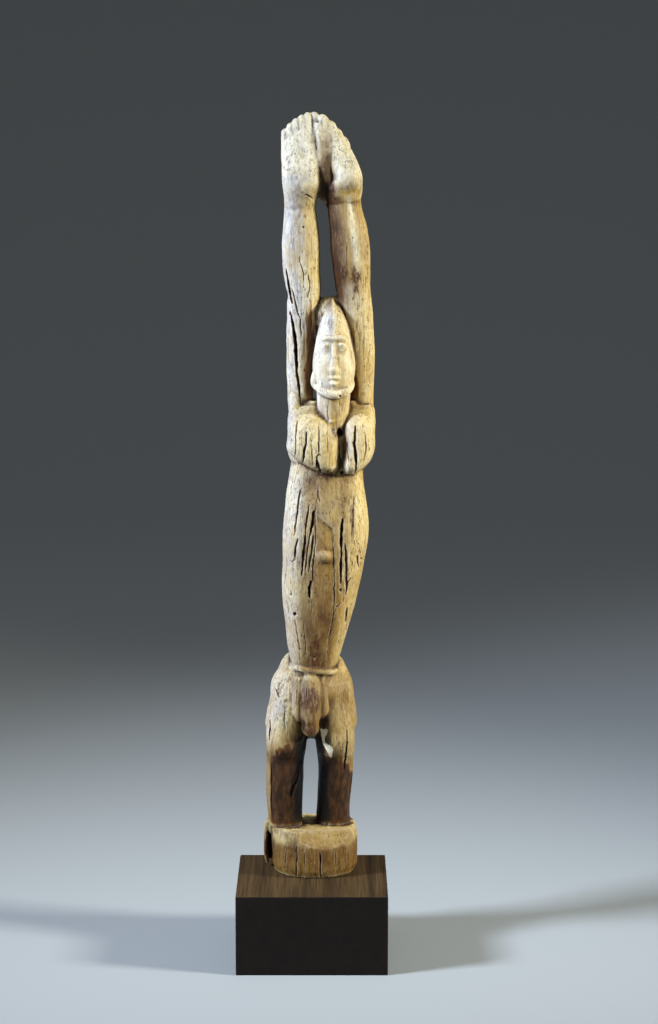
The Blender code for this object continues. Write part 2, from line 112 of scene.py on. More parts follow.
SHOULDERS = [
    (407, 16, 5, 30, 22, 2.4), (415, 18, 4, 36.5, 27, 2.6), (428, 19, 2, 42.5, 31, 2.9),
    (446, 19.3, 2, 43, 31, 2.9), (462, 19.5, 4, 43, 29, 2.9), (472, 20, 6, 41, 25, 2.6),
    (479, 20, 8, 36, 19, 2.4),
]
LEFT_BREAST = [
    (410, 16, -22, 7, 9, 2.2), (415, 12.5, -21, 13.5, 16, 2.4), (422, 6.5, -20, 20, 20, 2.7),
    (431, 2, -19, 25.5, 22.5, 2.9), (446, 2, -18, 26, 23, 2.9), (459, 2.5, -16, 25, 21, 2.7),
    (468, 0, -11, 20, 17, 2.5), (475, -3, -6, 13, 11, 2.2),
]
RIGHT_BREAST = [
    (409, 37, -21, 6, 9, 2.2), (415, 40, -20, 10, 16, 2.4), (425, 44, -18, 14, 20, 2.6),
    (436, 46, -17, 15.5, 21.5, 2.6), (450, 46.5, -16, 15.5, 21.5, 2.6),
    (461, 46.8, -14, 15, 19.5, 2.6), (469, 47.8, -9, 12.5, 16, 2.4), (475, 48.8, -5, 9, 10, 2.2),
]
NECK = [
    (449, 24, -24, 3, 8), (456, 21.5, -20, 11, 14), (466, 21, -18, 14.5, 16.5),
    (476, 21.2, -17, 15.8, 17.5), (492, 21.5, -16, 16.5, 18),
]
HEAD = [
    (484, 21.5, -17, 12, 17, 2.2), (491, 21.5, -17, 17, 21, 2.2),
    (503, 21.5, -16.5, 20, 23.5, 2.2), (517, 21.6, -16, 20.8, 24, 2.2),
    (530, 21.5, -15, 19, 23.5), (543, 21.3, -14, 16.4, 22.5, 1.9),
    (555, 21.5, -12, 13.2, 20, 1.8), (565, 21.2, -10, 9.8, 16, 1.8),
    (572, 20.4, -8, 6.6, 11, 1.8), (577.5, 19, -5, 2.5, 4.5, 1.8),
]
HAIR = [
    (500, 20.5, 4, 17, 10, 2.4), (512, 20.5, 4, 22, 11.5, 2.8), (545, 20.5, 3, 22, 13, 2.8),
    (560, 20.2, 2, 21.5, 14, 2.6), (570, 19.8, 1, 18.5, 13.5, 2.4),
    (577, 19.2, 1, 13.5, 10.5, 2.3), (582, 18.6, 1, 6, 5, 2.1),
]
NOSE = [
    (509, 21.5, -38, 4.6, 5.0), (512.5, 21.5, -38.5, 4.8, 6.0), (520, 21.5, -38, 3.4, 5.2),
    (532, 21.5, -36.5, 2.4, 4.2), (545, 21.5, -33, 2.2, 4.0), (560, 21.5, -27, 1.4, 3.2),
]
LEFT_ARM = [
    (458, -9, 9, 13, 17, 2.3), (480, -11, 8, 12.5, 17, 2.3), (500, -11.5, 7, 13, 17, 2.3),
    (530, -10.5, 5, 14.5, 17.5, 2.3), (560, -9.5, 3, 15.5, 18, 2.3),
    (588, -8.3, 2, 17, 18.5, 2.3), (608, -10, 1, 18, 18.5, 2.3), (630, -10.5, 1, 19, 18, 2.3),
    (650, -10.7, 1, 17.5, 16.5, 2.2), (668, -11.5, 1, 15.5, 14.5, 2.2),
    (692, -12, 1, 15, 13, 2.2),
]
RIGHT_ARM = [
    (458, 50, 9, 11.5, 17, 2.2), (480, 49.5, 8, 11, 17, 2.2), (500, 49, 7, 12.5, 17, 2.2),
    (530, 47.5, 5, 14.5, 17.5, 2.2), (560, 44.5, 3, 16, 18, 2.2), (588, 41, 2, 17, 18.5, 2.2),
    (608, 39.5, 1, 18.5, 18.5, 2.1), (630, 37.8, 1, 19.5, 18, 2.1), (650, 36, 1, 18.3, 17, 2.1),
    (668, 32.5, 1, 17, 15, 2.1), (692, 31.5, 1, 16, 13, 2.1),
]
LEFT_PALM = [
    (660, -11.5, 1, 13, 12.5, 2.2), (670, -11.3, 0, 15.4, 14, 2.2),
    (680, -10.6, -2.2, 16.8, 15.2, 2.3), (690, -9.5, -4.5, 19, 17, 2.4),
    (703, -9.8, -3.5, 19.2, 15.5, 2.5), (715, -9.8, -1.5, 18.8, 12.5, 2.6),
    (727, -9.5, 0.5, 17.4, 9.8, 2.6), (738, -8, 2, 15, 7.6, 2.6), (747, -5.5, 3, 10, 5.5, 2.4),
    (753, -3.5, 3.2, 5, 3.5, 2.2),
]
RIGHT_PALM = [
    (670, 31.5, 1, 14.5, 12.5, 2.2), (678, 31.3, -1.5, 17, 14, 2.3),
    (685, 31.5, -3, 18, 14.8, 2.3), (690, 33.5, -4.5, 16.2, 16.5, 2.4),
    (697, 35.8, -5.5, 14, 17.5, 2.4), (706, 33.4, -4.5, 13.9, 16.5, 2.5),
    (716, 29.8, -2, 13, 13.2, 2.5), (728, 25.2, 0.5, 11.5, 10, 2.5), (738, 20.5, 2, 9.5, 8, 2.4),
    (747, 14.5, 3, 8, 6, 2.3), (753, 10, 3.2, 5, 3.6, 2.2),
]
PALM_WEB = [
    (664, 20, 5, 2, 5), (672, 17, 4, 5, 8), (679, 14.5, 2.5, 8, 9.5),
    (685, 13.5, 1, 9.5, 11.5, 2.2), (692, 13.2, 0, 10, 12.5, 2.3), (705, 12.4, 0, 10, 12.5, 2.3),
    (718, 11.6, 0, 9.6, 10.8, 2.3), (730, 11, 0, 7.5, 8.6, 2.2), (740, 8.6, 0.6, 6, 7.4, 2.2),
    (750, 6, 1.6, 4, 5),
]
LEFT_FLANK = [
    (430, -15.5, -6, 7.5, 22, 2.4), (446, -15.5, -6, 7.5, 23, 2.4),
    (462, -15.2, -4, 7.6, 20, 2.3), (478, -15, 0, 7.8, 14, 2.2), (494, -14.5, 4, 8, 9, 2.2),
]
RIGHT_FLANK = [
    (430, 54, -5, 7, 22, 2.3), (446, 54.5, -5, 7, 22, 2.3), (460, 54, -2, 7.2, 18, 2.3),
    (474, 52, 3, 7.5, 12, 2.2), (488, 50.5, 6, 7.5, 8, 2.2),
]
KEEL = [
    (540, 21.4, -30, 3, 4.5), (552, 21.3, -26.5, 2.8, 5.4), (564, 21, -21, 2.4, 5.4),
    (574, 20.4, -15, 2, 4.6), (580, 19.8, -9, 1.2, 3),
]
BEARD_END = [
    (493, 4.6, -22, 3, 6, 2.6), (496, 3.9, -21, 4.2, 7.5, 3.0), (506, 3.7, -19, 4.2, 8, 3.0),
    (510.5, 4.4, -17, 3.2, 6.5, 2.6),
]
SHAFT = [
    (146.5, -1.5, -32, 4, 5), (150, -1.5, -31.5, 7.6, 8), (160, -1.5, -30.5, 8.6, 9),
    (164, -1.5, -30, 9.2, 10, 2.1), (182, -1.3, -27.5, 10, 10.5, 2.1),
    (199, -1, -23, 9.5, 9, 2.1), (208, -0.5, -18, 7, 6),
]
LEFT_LOBE = [
    (160, -12, -25, 2.5, 5), (165, -13.5, -25.5, 4.6, 7.5), (182, -14.5, -24, 5.2, 8.5),
    (204, -13, -17, 4, 6),
]
RIGHT_LOBE = [
    (163, 9.5, -24, 2.2, 5), (168, 11, -24.5, 4.2, 7.5), (184, 11.5, -22.5, 4.8, 8.5),
    (205, 10.5, -16, 3.8, 6),
]

# Paths of a tube: x, y, z, radius.
BEARD = [
    (5.5, -10, 500, 3.0), (4.6, -18, 498, 4.4), (7.5, -28, 495, 5.0), (14, -36, 490.5, 5.0),
    (22, -39.5, 488.5, 4.8), (30, -36, 490.5, 4.6), (36.5, -27, 494, 4.4),
    (38.6, -16, 497.5, 3.6), (37.6, -8, 500, 2.4),
]
# Halves of the lips and of the brow, and the lids of one eye. The other side mirrors them.
UPPER_LIP = [(15.3, -37.8, 504.2, 1.2), (18.6, -40.6, 505.8, 1.9), (21.5, -41.4, 505.2, 2)]
LOWER_LIP = [(16.6, -38.2, 500.8, 1.3), (21.5, -41.2, 499.4, 2.3)]
BROW = [(8.6, -27.6, 539.5, 1.4), (14.5, -35.6, 543.6, 2.4), (21.5, -37.6, 543.2, 2.2)]
LID = [(9.4, -33.2, 534.0, 0.9), (14, -37.8, 537.6, 1.2), (18.6, -36.2, 534.2, 0.9)]
UNDER_LID = [(9.6, -33.2, 533.6, 0.8), (14, -37.4, 531.0, 1.0), (18.4, -36.0, 533.8, 0.8)]
LEFT_STRIP = [(-35, -3, 4, 3.5), (-36.2, -2, 26, 3.8), (-42, 0, 60, 3.6), (-43.5, 4, 105, 3)]
RIGHT_KNOB = [(40.5, 12, 22, 5), (41.4, 10, 38, 4.5), (39.5, 9, 48, 3.5)]
# The thin splinter beside the foot block, and the wood that it still hangs on.
LEFT_SPLINTER = [
    (3, -46, 14, 1.3, 4), (10, -47.2, 15, 1.8, 6, 2.2), (22, -47.4, 15, 1.9, 7, 2.2),
    (34, -47, 14.5, 2.0, 7, 2.2), (44, -46.2, 13, 2.4, 6, 2.2), (50, -44.6, 10, 1.6, 5),
]
SPLINTER_ROOT = [
    (6, -41, 21, 6, 2.6, 2.2), (30, -42, 21, 6, 3, 2.2), (44, -42.5, 17, 4.5, 4, 2.2),
    (52, -42, 11, 2.5, 4),
]

# Fingers from the little finger of one hand to that of the other:
# tip x, tip height, root x, half width.
FINGERS = [
    (-26.2, 744.8, -25.6, 3.6), (-20.8, 750.4, -19.2, 3.6), (-15.2, 755.2, -12.4, 3.7),
    (-9.8, 758.4, -5.8, 3.6), (-4.2, 760.8, 0.0, 3.8), (2.6, 761.6, 6.0, 4.1),
    (10.4, 758.6, 24.0, 5.0), (18.0, 752.6, 28.4, 4.9), (25.0, 745.2, 32.4, 4.8),
    (31.2, 737.6, 36.4, 4.4),
]
FINGER_ROOT_HEIGHT = 708
# Along a finger: share of its rise, y, half depth. At its tip: drop, share of width, half depth.
FINGER_SHAPE = [(0, 2, 5), (0.2, 0, 10), (0.5, 1, 8.6), (0.84, 2.6, 5.4)]
FINGER_TIP = [(2, 0.85, 3.8), (0, 0.35, 1.5)]
# The outer fingers of each hand sit further back.
OUTER_FINGERS_BACK = 3.5
HAND_HALF_WIDTH = 17
LEFT_HAND_MIDDLE = -9.5
RIGHT_HAND_MIDDLE = 22
HANDS_MEET = 5

# Ellipsoids: centre x, y, z and half sizes along them.
NAVEL = ((11.9, -36.6, 328.6), (8.4, 5.6, 7.2))
EYE = ((14.1, -34.8, 534.4), (4.0, 3.0, 2.5))
CHEEK = ((12.5, -30, 519), (6.5, 6, 8))
NOSTRIL = ((18.4, -39.2, 513), (2.4, 3.2, 2.4))
NOSE_TIP = ((21.5, -42, 513.8), (3.2, 3.4, 3.2))
CHIN = ((21.5, -36, 495.5), (6, 4.2, 4))
NECK_KNOB = ((19.4, -34.6, 462), (2.2, 2, 2.2))
LEG_KNOB = ((-25.3, -18.2, 88), (1.8, 2.4, 4.6))
THUMB = ((15.2, -8.6, 721), (3.4, 2.0, 5.4))
BUTTOCKS = [((-20, 23, 180), (23, 20, 30)), ((20, 24, 180), (22, 20, 30))]

# The cord round the waist: height, centre x, centre y, half width, half depth, radius.
BELT = (210.5, 2, -1, 21.8, 22.5, 3.3)
BELT_LEAN = 0.14
BELT_SIDES = 16

# Splits along the grain: half width, depth, then x (y at the sides) and height of each point.
FRONT_SPLITS = [
    (1.4, 7, -24.6, 610, -23.6, 601, -22.3, 592, -20, 581, -19, 575),
    (1.8, 9, -21, 568, -18.6, 557, -15.5, 539, -14.8, 523, -14.2, 505),
    (1, 4.5, -14.8, 523, -14, 505, -12.5, 494, -10.7, 474),
    (0.9, 2.2, -22, 594, -18.3, 587, -14.4, 570, -11.5, 560, -9.5, 540),
    (0.7, 1.8, -13, 624, -11.4, 616, -7.5, 604, -8.5, 588),
    (0.7, 1.6, -3.5, 606, -2.5, 594, -4.5, 580),
    (1, 3, -2.4, 380, -3.3, 373, -5.3, 360, -6.2, 350),
    (1.3, 5, -6.4, 352, -7.0, 340, -8.7, 324, -10.4, 308),
    (1.5, 6, 2.4, 374, 1.2, 366, 0.0, 358, -2.4, 347),
    (0.9, 3, 2.0, 351, 1.4, 344, -0.8, 329, -3.6, 311),
    (0.8, 2, -1.6, 352, -4, 338, -5.6, 322, -6.4, 312),
    (1.9, 6.5, -1.2, 304, -2.6, 296, -2.0, 286),
    (0.7, 1.6, 6.8, 400, 5.9, 395, 3.7, 376, 2.9, 361, 3.7, 344, 0.8, 318, -0.9, 292, 0.4, 260),
    (1, 3, -11.2, 394, -12.4, 387, -14.6, 369, -17.5, 348),
    (1.2, 3.5, -13.4, 346, -14.6, 341, -16.4, 331, -17, 326),
    (0.7, 1.6, -14.8, 339, -16.4, 325, -19, 321.5, -22.2, 323),
    (1.6, 8, 29.8, 366, 29.2, 356, 28.7, 345, 28.6, 333),
    (1.1, 4.5, 28.7, 340, 28.4, 322, 28, 300),
    (1.1, 5, 32.8, 342, 33, 336, 33.9, 312, 34.1, 300, 33.2, 288),
    (0.9, 1.6, 41.2, 388, 40.3, 364, 38.6, 346),
    (1.2, 2.5, 44.6, 329, 45.8, 315),
    (0.6, 1.6, 20.4, 360, 21.6, 340, 21.7, 321, 22.4, 292, 20.9, 265, 16.7, 247, 13.9, 214),
    (0.7, 1.6, 34, 300, 38.9, 306.5),
    (0.8, 2, 23.4, 276.6, 29, 281.2),
    (1.2, 2.2, 34.8, 276, 33, 260),
    (0.6, 1.4, -17, 264, -14, 242, -11.5, 220),
    (0.6, 1.2, -8, 262, -6.6, 240, -6, 222),
    (0.8, 2, -14.2, 463, -14.6, 456, -15.8, 440, -16, 424),
    (1.3, 6, -4.8, 452, -5.6, 443, -7.2, 433, -9.2, 419),
    (0.8, 2.5, 7.4, 464, 7.1, 450, 6.7, 434, 5.2, 425, 4.4, 416),
    (1.6, 4, 4.6, 430, 6, 421, 8.8, 410),
    (0.7, 1.4, -0.7, 448, 0.3, 430, 1, 418),
    (0.7, 1.2, 26.5, 440, 27.2, 430, 28.7, 416),
    (1.7, 4.5, 42.6, 458, 42.3, 451, 41.9, 439, 43.2, 424, 42.4, 408),
    (0.7, 1.4, 34.6, 442, 36, 425, 36.6, 412),
    (0.7, 1.2, 52, 452, 52.6, 436, 51, 422),
    (2.4, 5.5, -12.6, 112, -15.2, 104, -18.3, 95, -22.6, 79),
    (1.1, 3.5, 34.8, 152, 34.4, 136, 33, 122, 31.2, 106),
    (0.8, 2, 40, 106, 39.6, 92, 37, 78),
    (0.6, 1.2, -5, 199, -5.6, 184),
    (0.6, 1, 2.4, 194, 3.2, 176),
    (1.2, 3.5, -42, 160, -42.3, 151, -42.8, 140),
    (0.9, 2.5, -41.4, 116, -40.4, 96, -41, 76, -39.8, 54),
    (1.2, 2.2, -37, 190, -34.8, 186, -33, 182),
    (0.6, 1, -27, 178, -28, 160, -26, 148),
    (0.8, 2.6, -15.9, 37, -15.3, 22, -15.6, 1),
    (0.6, 1.2, -7.3, 33, -7.8, 21, -7.4, 1),
    (0.9, 3, 7.4, 30, 8.2, 18, 7.6, 1),
    (0.5, 0.8, 23, 30, 23.8, 9),
    (0.5, 0.8, -26, 34, -27, 12),
    (0.6, 1.4, 2.4, 28, 3, 14, 3.4, 2),
    (0.5, 0.8, 36, 32, 35, 12),
    (0.5, 0.8, 16, 484, 15.4, 470, 16.8, 462),
    (0.5, 0.8, 26.6, 484, 27.4, 470),
    (0.8, 2, -7, 682.4, -3, 680.6, 1.4, 676.8),
    (0.6, 1, 25.6, 726, 33, 721.5),
]
BACK_SPLITS = [
    (3.4, 6, 12, 455, 13, 400, 9, 330, 4, 236),
    (1.2, 3.5, 17, 330, 18, 280, 15, 240),
    (2.2, 5, 0, 208, -1, 148),
    (1.5, 4, -6, 436, -9, 360, -8, 296),
    (1.4, 4, 33, 404, 35, 340, 30, 286),
    (1.2, 3, 47, 624, 46, 560, 49, 494),
    (1.2, 3, -9, 646, -7, 580, -9, 514),
    (1.3, 3.5, 18, 570, 17, 540, 20, 508),
    (1.4, 3.5, -12, 44, -13, 20, -11, 1),
    (1.2, 3, 20, 46, 22, 24, 20, 1),
    (1.2, 3, -30, 170, -31, 120, -29, 80),
]
LEFT_SPLITS = [
    (1.4, 4.5, 4, 626, 6, 560, 5, 494),
    (1.5, 4, -6, 404, -4, 330, -6, 264),
    (1.2, 3, 8, 460, 9, 440, 7, 418),
    (1.3, 3.5, 10, 196, 12, 120, 8, 56),
]
RIGHT_SPLITS = [
    (1.2, 3, 2, 646, 4, 590, 3, 534),
    (1.5, 4, -2, 396, 2, 330, 0, 274),
    (1.2, 3, 2, 462, 4, 440, 2, 420),
    (1.3, 3.5, 6, 196, 4, 130, 8, 66),
]
SPLITS = {"front": FRONT_SPLITS, "back": BACK_SPLITS}
SPLITS |= {"left": LEFT_SPLITS, "right": RIGHT_SPLITS}

# Holes: side, x or y, height, radius.
HOLES = [
    ("front", -16.6, 269, 1.9), ("front", -20.4, 288.6, 1.2), ("front", 28, 294, 1.3),
    ("front", 48.6, 323.6, 1.4), ("front", 26.8, 450, 4.4), ("front", 29.4, 410, 2.4),
    ("front", 7.9, 429.7, 1.2), ("front", 2, 225, 1.2), ("front", -10, 247, 0.9),
    ("front", 13, 304, 0.9), ("front", -8, 650, 1.2), ("front", 40, 640, 1.0),
    ("front", 27.5, 487.4, 1.5), ("back", 24, 300, 1.4), ("back", -14, 380, 1.3),
    ("back", 30, 190, 1.4), ("left", 8, 350, 1.3), ("left", 2, 180, 1.2),
    ("right", -4, 252, 1.6), ("right", 6, 560, 1.2),
]
# Thin random splits, the share of a split's depth that is cut, and how deep holes are in radii.
HAIRLINES = 70
SPLIT_CUT = 0.7
HOLE_CUT = 1.8
FAR_FROM_SPLITS = -1.5

# Soft dents: centre, half sizes, depth.
DENTS = [
    ((-24, 0, 583), (5, 14, 7), 1.8),
    ((0, -34, 330), (8, 12, 36), 1.8),
    ((33, -36, 436), (5, 12, 20), 1.8),
    ((14, -36, 531), (5.5, 6, 5), 1.6),
    ((29, -36, 531), (5.5, 6, 5), 1.6),
    ((-26, -24, 124), (9, 12, 7), 1.2),
]

# Stains on the front: x, height, half width, half height, strength.
STAINS = [
    (23.7, 648, 6, 9, 0.8), (33, 606, 8, 11, 0.8), (42.5, 604, 6, 9, 1.0),
    (43.5, 588, 4, 5, 0.95), (25, 614, 6, 32, 0.8), (15, 408, 10, 6, 0.95), (2, 402, 9, 5, 0.6),
    (33, 437, 4.5, 12, 0.65), (-8, 414, 5, 6, 0.5), (25.5, 451, 8, 7, 0.9),
    (22, 472, 3, 14, 0.5), (3, 226, 9, 22, 0.95), (4, 262, 13, 26, 0.6), (12, 300, 8, 20, 0.35),
    (-2, 330, 9, 38, 0.45), (40, 366, 2.6, 20, 0.85), (28, 432, 3, 18, 0.5),
    (15, 322, 8, 4, 0.6), (-1, 184, 10, 18, 1.0), (0, 168, 7, 9, 0.6), (-1, 155, 8, 9, 0.9),
    (-10, 158, 8, 10, 0.8), (12, 158, 6, 10, 0.85), (-17, 190, 4, 14, 0.45),
    (15, 192, 4, 16, 0.45), (-19, 24, 6, 14, 0.55), (14, 20, 8, 12, 0.6), (30, 16, 8, 12, 0.5),
    (-47, 28, 4, 24, 1.0), (13, 700, 5, 20, 0.75), (17, 685, 6, 9, 0.95), (24, 677, 6, 4, 0.8),
    (-20, 140, 8, 9, 0.4), (27, 126, 8, 10, 0.4), (-12, 700, 9, 7, 0.35), (40, 694, 7, 8, 0.3),
    (30, 640, 7, 20, 0.4), (-4, 346, 7, 34, 0.55), (32, 330, 5, 26, 0.4), (-32, 44, 9, 6, 0.6),
    (-30, 20, 7, 14, 0.4),
]
# Blue-grey smears, in the same way.
SMEARS = [
    (-12, 372, 5, 36, 0.9), (-17, 330, 5, 22, 0.6), (-6, 398, 9, 12, 0.5),
    (28, 384, 12, 10, 0.5), (10, 372, 9, 9, 0.8), (18, 360, 8, 5, 0.7), (-18, 694, 8, 5, 0.9),
    (-4, 696, 6, 3, 0.8), (19, 558, 3, 14, 0.9), (-30, 168, 5, 18, 0.8), (-9, 192, 3, 12, 0.7),
    (41, 632, 3, 12, 0.7), (37, 708, 6, 8, 0.5), (-16, 640, 9, 26, 0.6), (-12, 570, 8, 30, 0.5),
    (-22, 450, 4, 20, 0.5),
]
# Pale worn places on the front, in the same way.
RUBBED = [
    (-20, 211, 12, 3, 0.45), (-1.0, 350, 0.9, 16, 0.5), (3.6, 338, 1.0, 16, 0.5),
    (-3.6, 330, 0.9, 14, 0.5), (-8.4, 340, 1.0, 12, 0.5), (30.8, 318, 1.0, 22, 0.5),
    (36.5, 330, 1.2, 18, 0.5),
]
# Black painted shade on the front, in the same way: in the gap behind the splinter, at the wrists
# and in the grooves beside the shaft.
SHADE_PATCHES = [
    (-42.4, 26, 3.2, 17, 1.0), (14, 688, 4, 6, 0.7), (12, 158, 3.5, 7, 0.8),
    (-9.5, 157, 3, 5, 0.8),
]
# Top of the painted shade on the right shin's inner side.
SHIN_SHADE_TOP = 118
# The pale flake on the inner thigh, a worn facet painted with a highlight: heights and x of its
# left and right edges.
FLAKE_LEFT = ([120, 131, 138, 152], [19, 14, 10.5, 8])
FLAKE_RIGHT = ([120, 122, 133, 136, 139, 144, 150, 152], [19, 19.5, 21.5, 17.3, 13.3, 12.7, 16, 16])
# The painted highlight down the right arm: heights and x.
ARM_HIGHLIGHT = ([585, 630, 665, 680], [45, 43, 38, 35])
# The brown middle of the trunk: its centre, its reach to either side and its strength, by height.
TORSO_MIDDLE = ([210, 300, 360, 410], [2, 10, 14, 15])
TAN_REACH = ([206, 300, 360, 412], [17, 24, 23, 24])
TAN_STRENGTH = ([204, 212, 300, 360, 400, 414], [0, 1, 0.85, 0.75, 0.8, 0])
# The scar on the belly: its left and right edges as heights and x, and its slanting top edge.
SCAR_LEFT = ([285, 318, 344, 361, 376], [-0.5, 0.8, 3.7, 2.9, 3.7])
SCAR_RIGHT = ([285, 321, 345, 360], [22.4, 21.7, 21.3, 20.4])
SCAR_TOP = ([3, 24], [370, 353])
SCAR_DEPTH = 1.1
# Where the pale thighs end and the brown shins begin: x and height.
SHIN_TOP = (
    [-45, -39.6, -27, -17, -6, 8, 19.6, 33, 42],
    [116, 123, 134, 136, 138, 131, 123, 113, 98],
)

# For each side: the axis that it faces along, and the sign of its outward direction.
SIDES = {"front": (1, -1), "back": (1, 1), "left": (0, -1), "right": (0, 1)}


def through(knots, gap):
    """Points about gap apart, on a smooth curve through the knots; column 0 is the parameter."""
    knots = np.array(knots, float)
    at = knots[:, 0]
    slopes = np.gradient(knots, at, axis=0)
    count = max(3, math.ceil((at[-1] - at[0]) / gap) + 1)
    rows = []
    for value in np.linspace(at[0], at[-1], count):
        i = min(int(np.searchsorted(at, value, side="right")) - 1, len(at) - 2)
        span = at[i + 1] - at[i]
        t = (value - at[i]) / span
        rows.append(
            (2 * t**3 - 3 * t**2 + 1) * knots[i]
            + (t**3 - 2 * t**2 + t) * span * slopes[i]
            + (3 * t**2 - 2 * t**3) * knots[i + 1]
            + (t**3 - t**2) * span * slopes[i + 1]
        )
    return np.array(rows)


def skin(clay, rings, endless=False):
    """Adds the skin over rings of points, closed at both ends or joined end to end."""
    made = [[clay.verts.new(point) for point in ring] for ring in rings]
    for low, high in zip(made, made[1:] + made[:1] * endless):
        for i in range(len(low)):
            k = (i + 1) % len(low)
            clay.faces.new((low[i], low[k], high[k], high[i]))
    if not endless:
        clay.faces.new(list(reversed(made[0])))
        clay.faces.new(made[-1])


def loft(clay, stations):
    """Adds a closed form with level rings that are rounded squares."""
    angles = np.linspace(0, 2 * math.pi, RING_SIDES, endpoint=False)
    cos, sin = np.cos(angles), np.sin(angles)
    rings = []
    full = [(*row, 2)[:6] for row in stations]
    for z, x, y, wide, deep, square in through(full, ROW_GAP):
        across = np.sign(cos) * np.abs(cos) ** (2 / square)
        along = np.sign(sin) * np.abs(sin) ** (2 / square)
        rings.append([Vector((x + wide * c, y + deep * s, z)) for c, s in zip(across, along)])
    skin(clay, rings)


def tube(clay, path):
    """Adds a round-ended tube along a smooth curve through the path's points."""
    path = np.array(path, float)
    steps = np.linalg.norm(np.diff(path[:, :3], axis=0), axis=1)
    along = np.concatenate([[0], np.cumsum(steps)])
    rows = through(np.column_stack([along, path]), ROW_GAP)
    centres = [Vector(row[1:4]) for row in rows]
    radii = list(rows[:, 4])
    first = (centres[0] - centres[1]).normalized()
    last = (centres[-1] - centres[-2]).normalized()
    for share in TUBE_END_SHARES:
        shrink = math.sqrt(1 - share**2)
        centres.insert(0, Vector(rows[0][1:4]) + first * rows[0][4] * share)
        radii.insert(0, rows[0][4] * shrink)
        centres.append(Vector(rows[-1][1:4]) + last * rows[-1][4] * share)
        radii.append(rows[-1][4] * shrink)
    side = (centres[1] - centres[0]).orthogonal().normalized()
    turns = [2 * math.pi * k / TUBE_SIDES for k in range(TUBE_SIDES)]
    rings = []
    for i, (centre, radius) in enumerate(zip(centres, radii)):
        ahead = (centres[min(i + 1, len(centres) - 1)] - centres[max(i - 1, 0)]).normalized()
        side = (side - ahead * side.dot(ahead)).normalized()
        up = ahead.cross(side)
        rings.append([centre + (side * math.cos(a) + up * math.sin(a)) * radius for a in turns])
    skin(clay, rings)


def ellipsoid(clay, centre, halves):
    """Adds an ellipsoid."""
    place = Matrix.Translation(centre) @ Matrix.Diagonal((*halves, 1))
    bmesh.ops.create_uvsphere(clay, u_segments=32, v_segments=20, radius=1, matrix=place)


def mirrored(place):
    """The same place, or row of a path, on the other side of the face's middle."""
    return (2 * FACE_MIDDLE - place[0], *place[1:])


def whole(half):
    """The path from one side to the other whose first half ends at the face's middle."""
    return half + [mirrored(row) for row in reversed(half[:-1])]


def belt(clay):
    """Adds the cord round the waist, a little higher on one side."""
    z, x, y, wide, deep, radius = BELT
    up = Vector((0, 0, 1))
    across = [2 * math.pi * i / BELT_SIDES for i in range(BELT_SIDES)]
    rings = []
    for k in range(RING_SIDES):
        turn = 2 * math.pi * k / RING_SIDES
        out = Vector((math.cos(turn), math.sin(turn), 0))
        centre = Vector((x + wide * out.x, y + deep * out.y, z - BELT_LEAN * wide * out.x))
        rings.append([centre + (out * math.cos(a) + up * math.sin(a)) * radius for a in across])
    skin(clay, rings, endless=True)


def fingers(clay):
    """Adds the ten raised fingers side by side, which sink into the palms at their roots."""
    for tip_x, tip_z, root_x, wide in FINGERS:
        middle = LEFT_HAND_MIDDLE if root_x < HANDS_MEET else RIGHT_HAND_MIDDLE
        back = OUTER_FINGERS_BACK * ((root_x - middle) / HAND_HALF_WIDTH) ** 2
        rise = tip_z - FINGER_ROOT_HEIGHT
        rows = []
        for share, y, deep in FINGER_SHAPE:
            x = root_x + (tip_x - root_x) * share
            rows.append((FINGER_ROOT_HEIGHT + rise * share, x, y + back, wide, deep))
        for drop, narrower, deep in FINGER_TIP:
            rows.append((tip_z - drop, tip_x, 3 + back, wide * narrower, deep))
        loft(clay, rows)


def rough_form():
    """All the masses of the carving, overlapping one another."""
    clay = bmesh.new()
    lofts = (FOOT_BLOCK, LEFT_LEG, RIGHT_LEG, HIPS, TORSO, SHOULDERS, LEFT_BREAST, RIGHT_BREAST)
    lofts += (LEFT_FLANK, RIGHT_FLANK, NECK, HEAD, HAIR, KEEL, BEARD_END, NOSE, LEFT_ARM, RIGHT_ARM)
    lofts += (LEFT_PALM, RIGHT_PALM, PALM_WEB, SHAFT, LEFT_LOBE, RIGHT_LOBE)
    lofts += (LEFT_SPLINTER, SPLINTER_ROOT)
    for stations in lofts:
        loft(clay, stations)
    tubes = [BEARD, whole(BROW)]
    for lid in (LID, UNDER_LID):
        tubes += [lid, [mirrored(row) for row in lid]]
    for path in (*tubes, whole(UPPER_LIP), whole(LOWER_LIP), LEFT_STRIP, RIGHT_KNOB):
        tube(clay, path)
    for centre, halves in (NAVEL, NOSE_TIP, CHIN, NECK_KNOB, LEG_KNOB, THUMB):
        ellipsoid(clay, centre, halves)
    for centre, halves in (EYE, CHEEK, NOSTRIL):
        ellipsoid(clay, centre, halves)
        ellipsoid(clay, mirrored(centre), halves)
    for centre, halves in BUTTOCKS:
        ellipsoid(clay, centre, halves)
    belt(clay)
    fingers(clay)
    bmesh.ops.recalc_face_normals(clay, faces=clay.faces)
    return clay


def placed(name, data):
    """A new object with this data, in the scene."""
    made = bpy.data.objects.new(name, data)
    bpy.context.scene.collection.objects.link(made)
    return made


def evaluated(clay, modifiers):
    """The mesh that the modifiers make of the clay: (type, settings) for each."""
    mesh = bpy.data.meshes.new("clay")
    clay.to_mesh(mesh)
    clay.free()
    holder = placed("clay", mesh)
    for kind, settings in modifiers:
        modifier = holder.modifiers.new(kind, kind)
        for key, value in settings.items():
            setattr(modifier, key, value)
    graph = bpy.context.evaluated_depsgraph_get()
    made = bpy.data.meshes.new_from_object(holder.evaluated_get(graph))
    bpy.data.objects.remove(holder)
    return made


def positions(mesh):
    """The mesh's points as rows of x, y, z."""
    points = np.empty(len(mesh.vertices) * 3)
    mesh.vertices.foreach_get("co", points)
    return points.reshape(-1, 3)


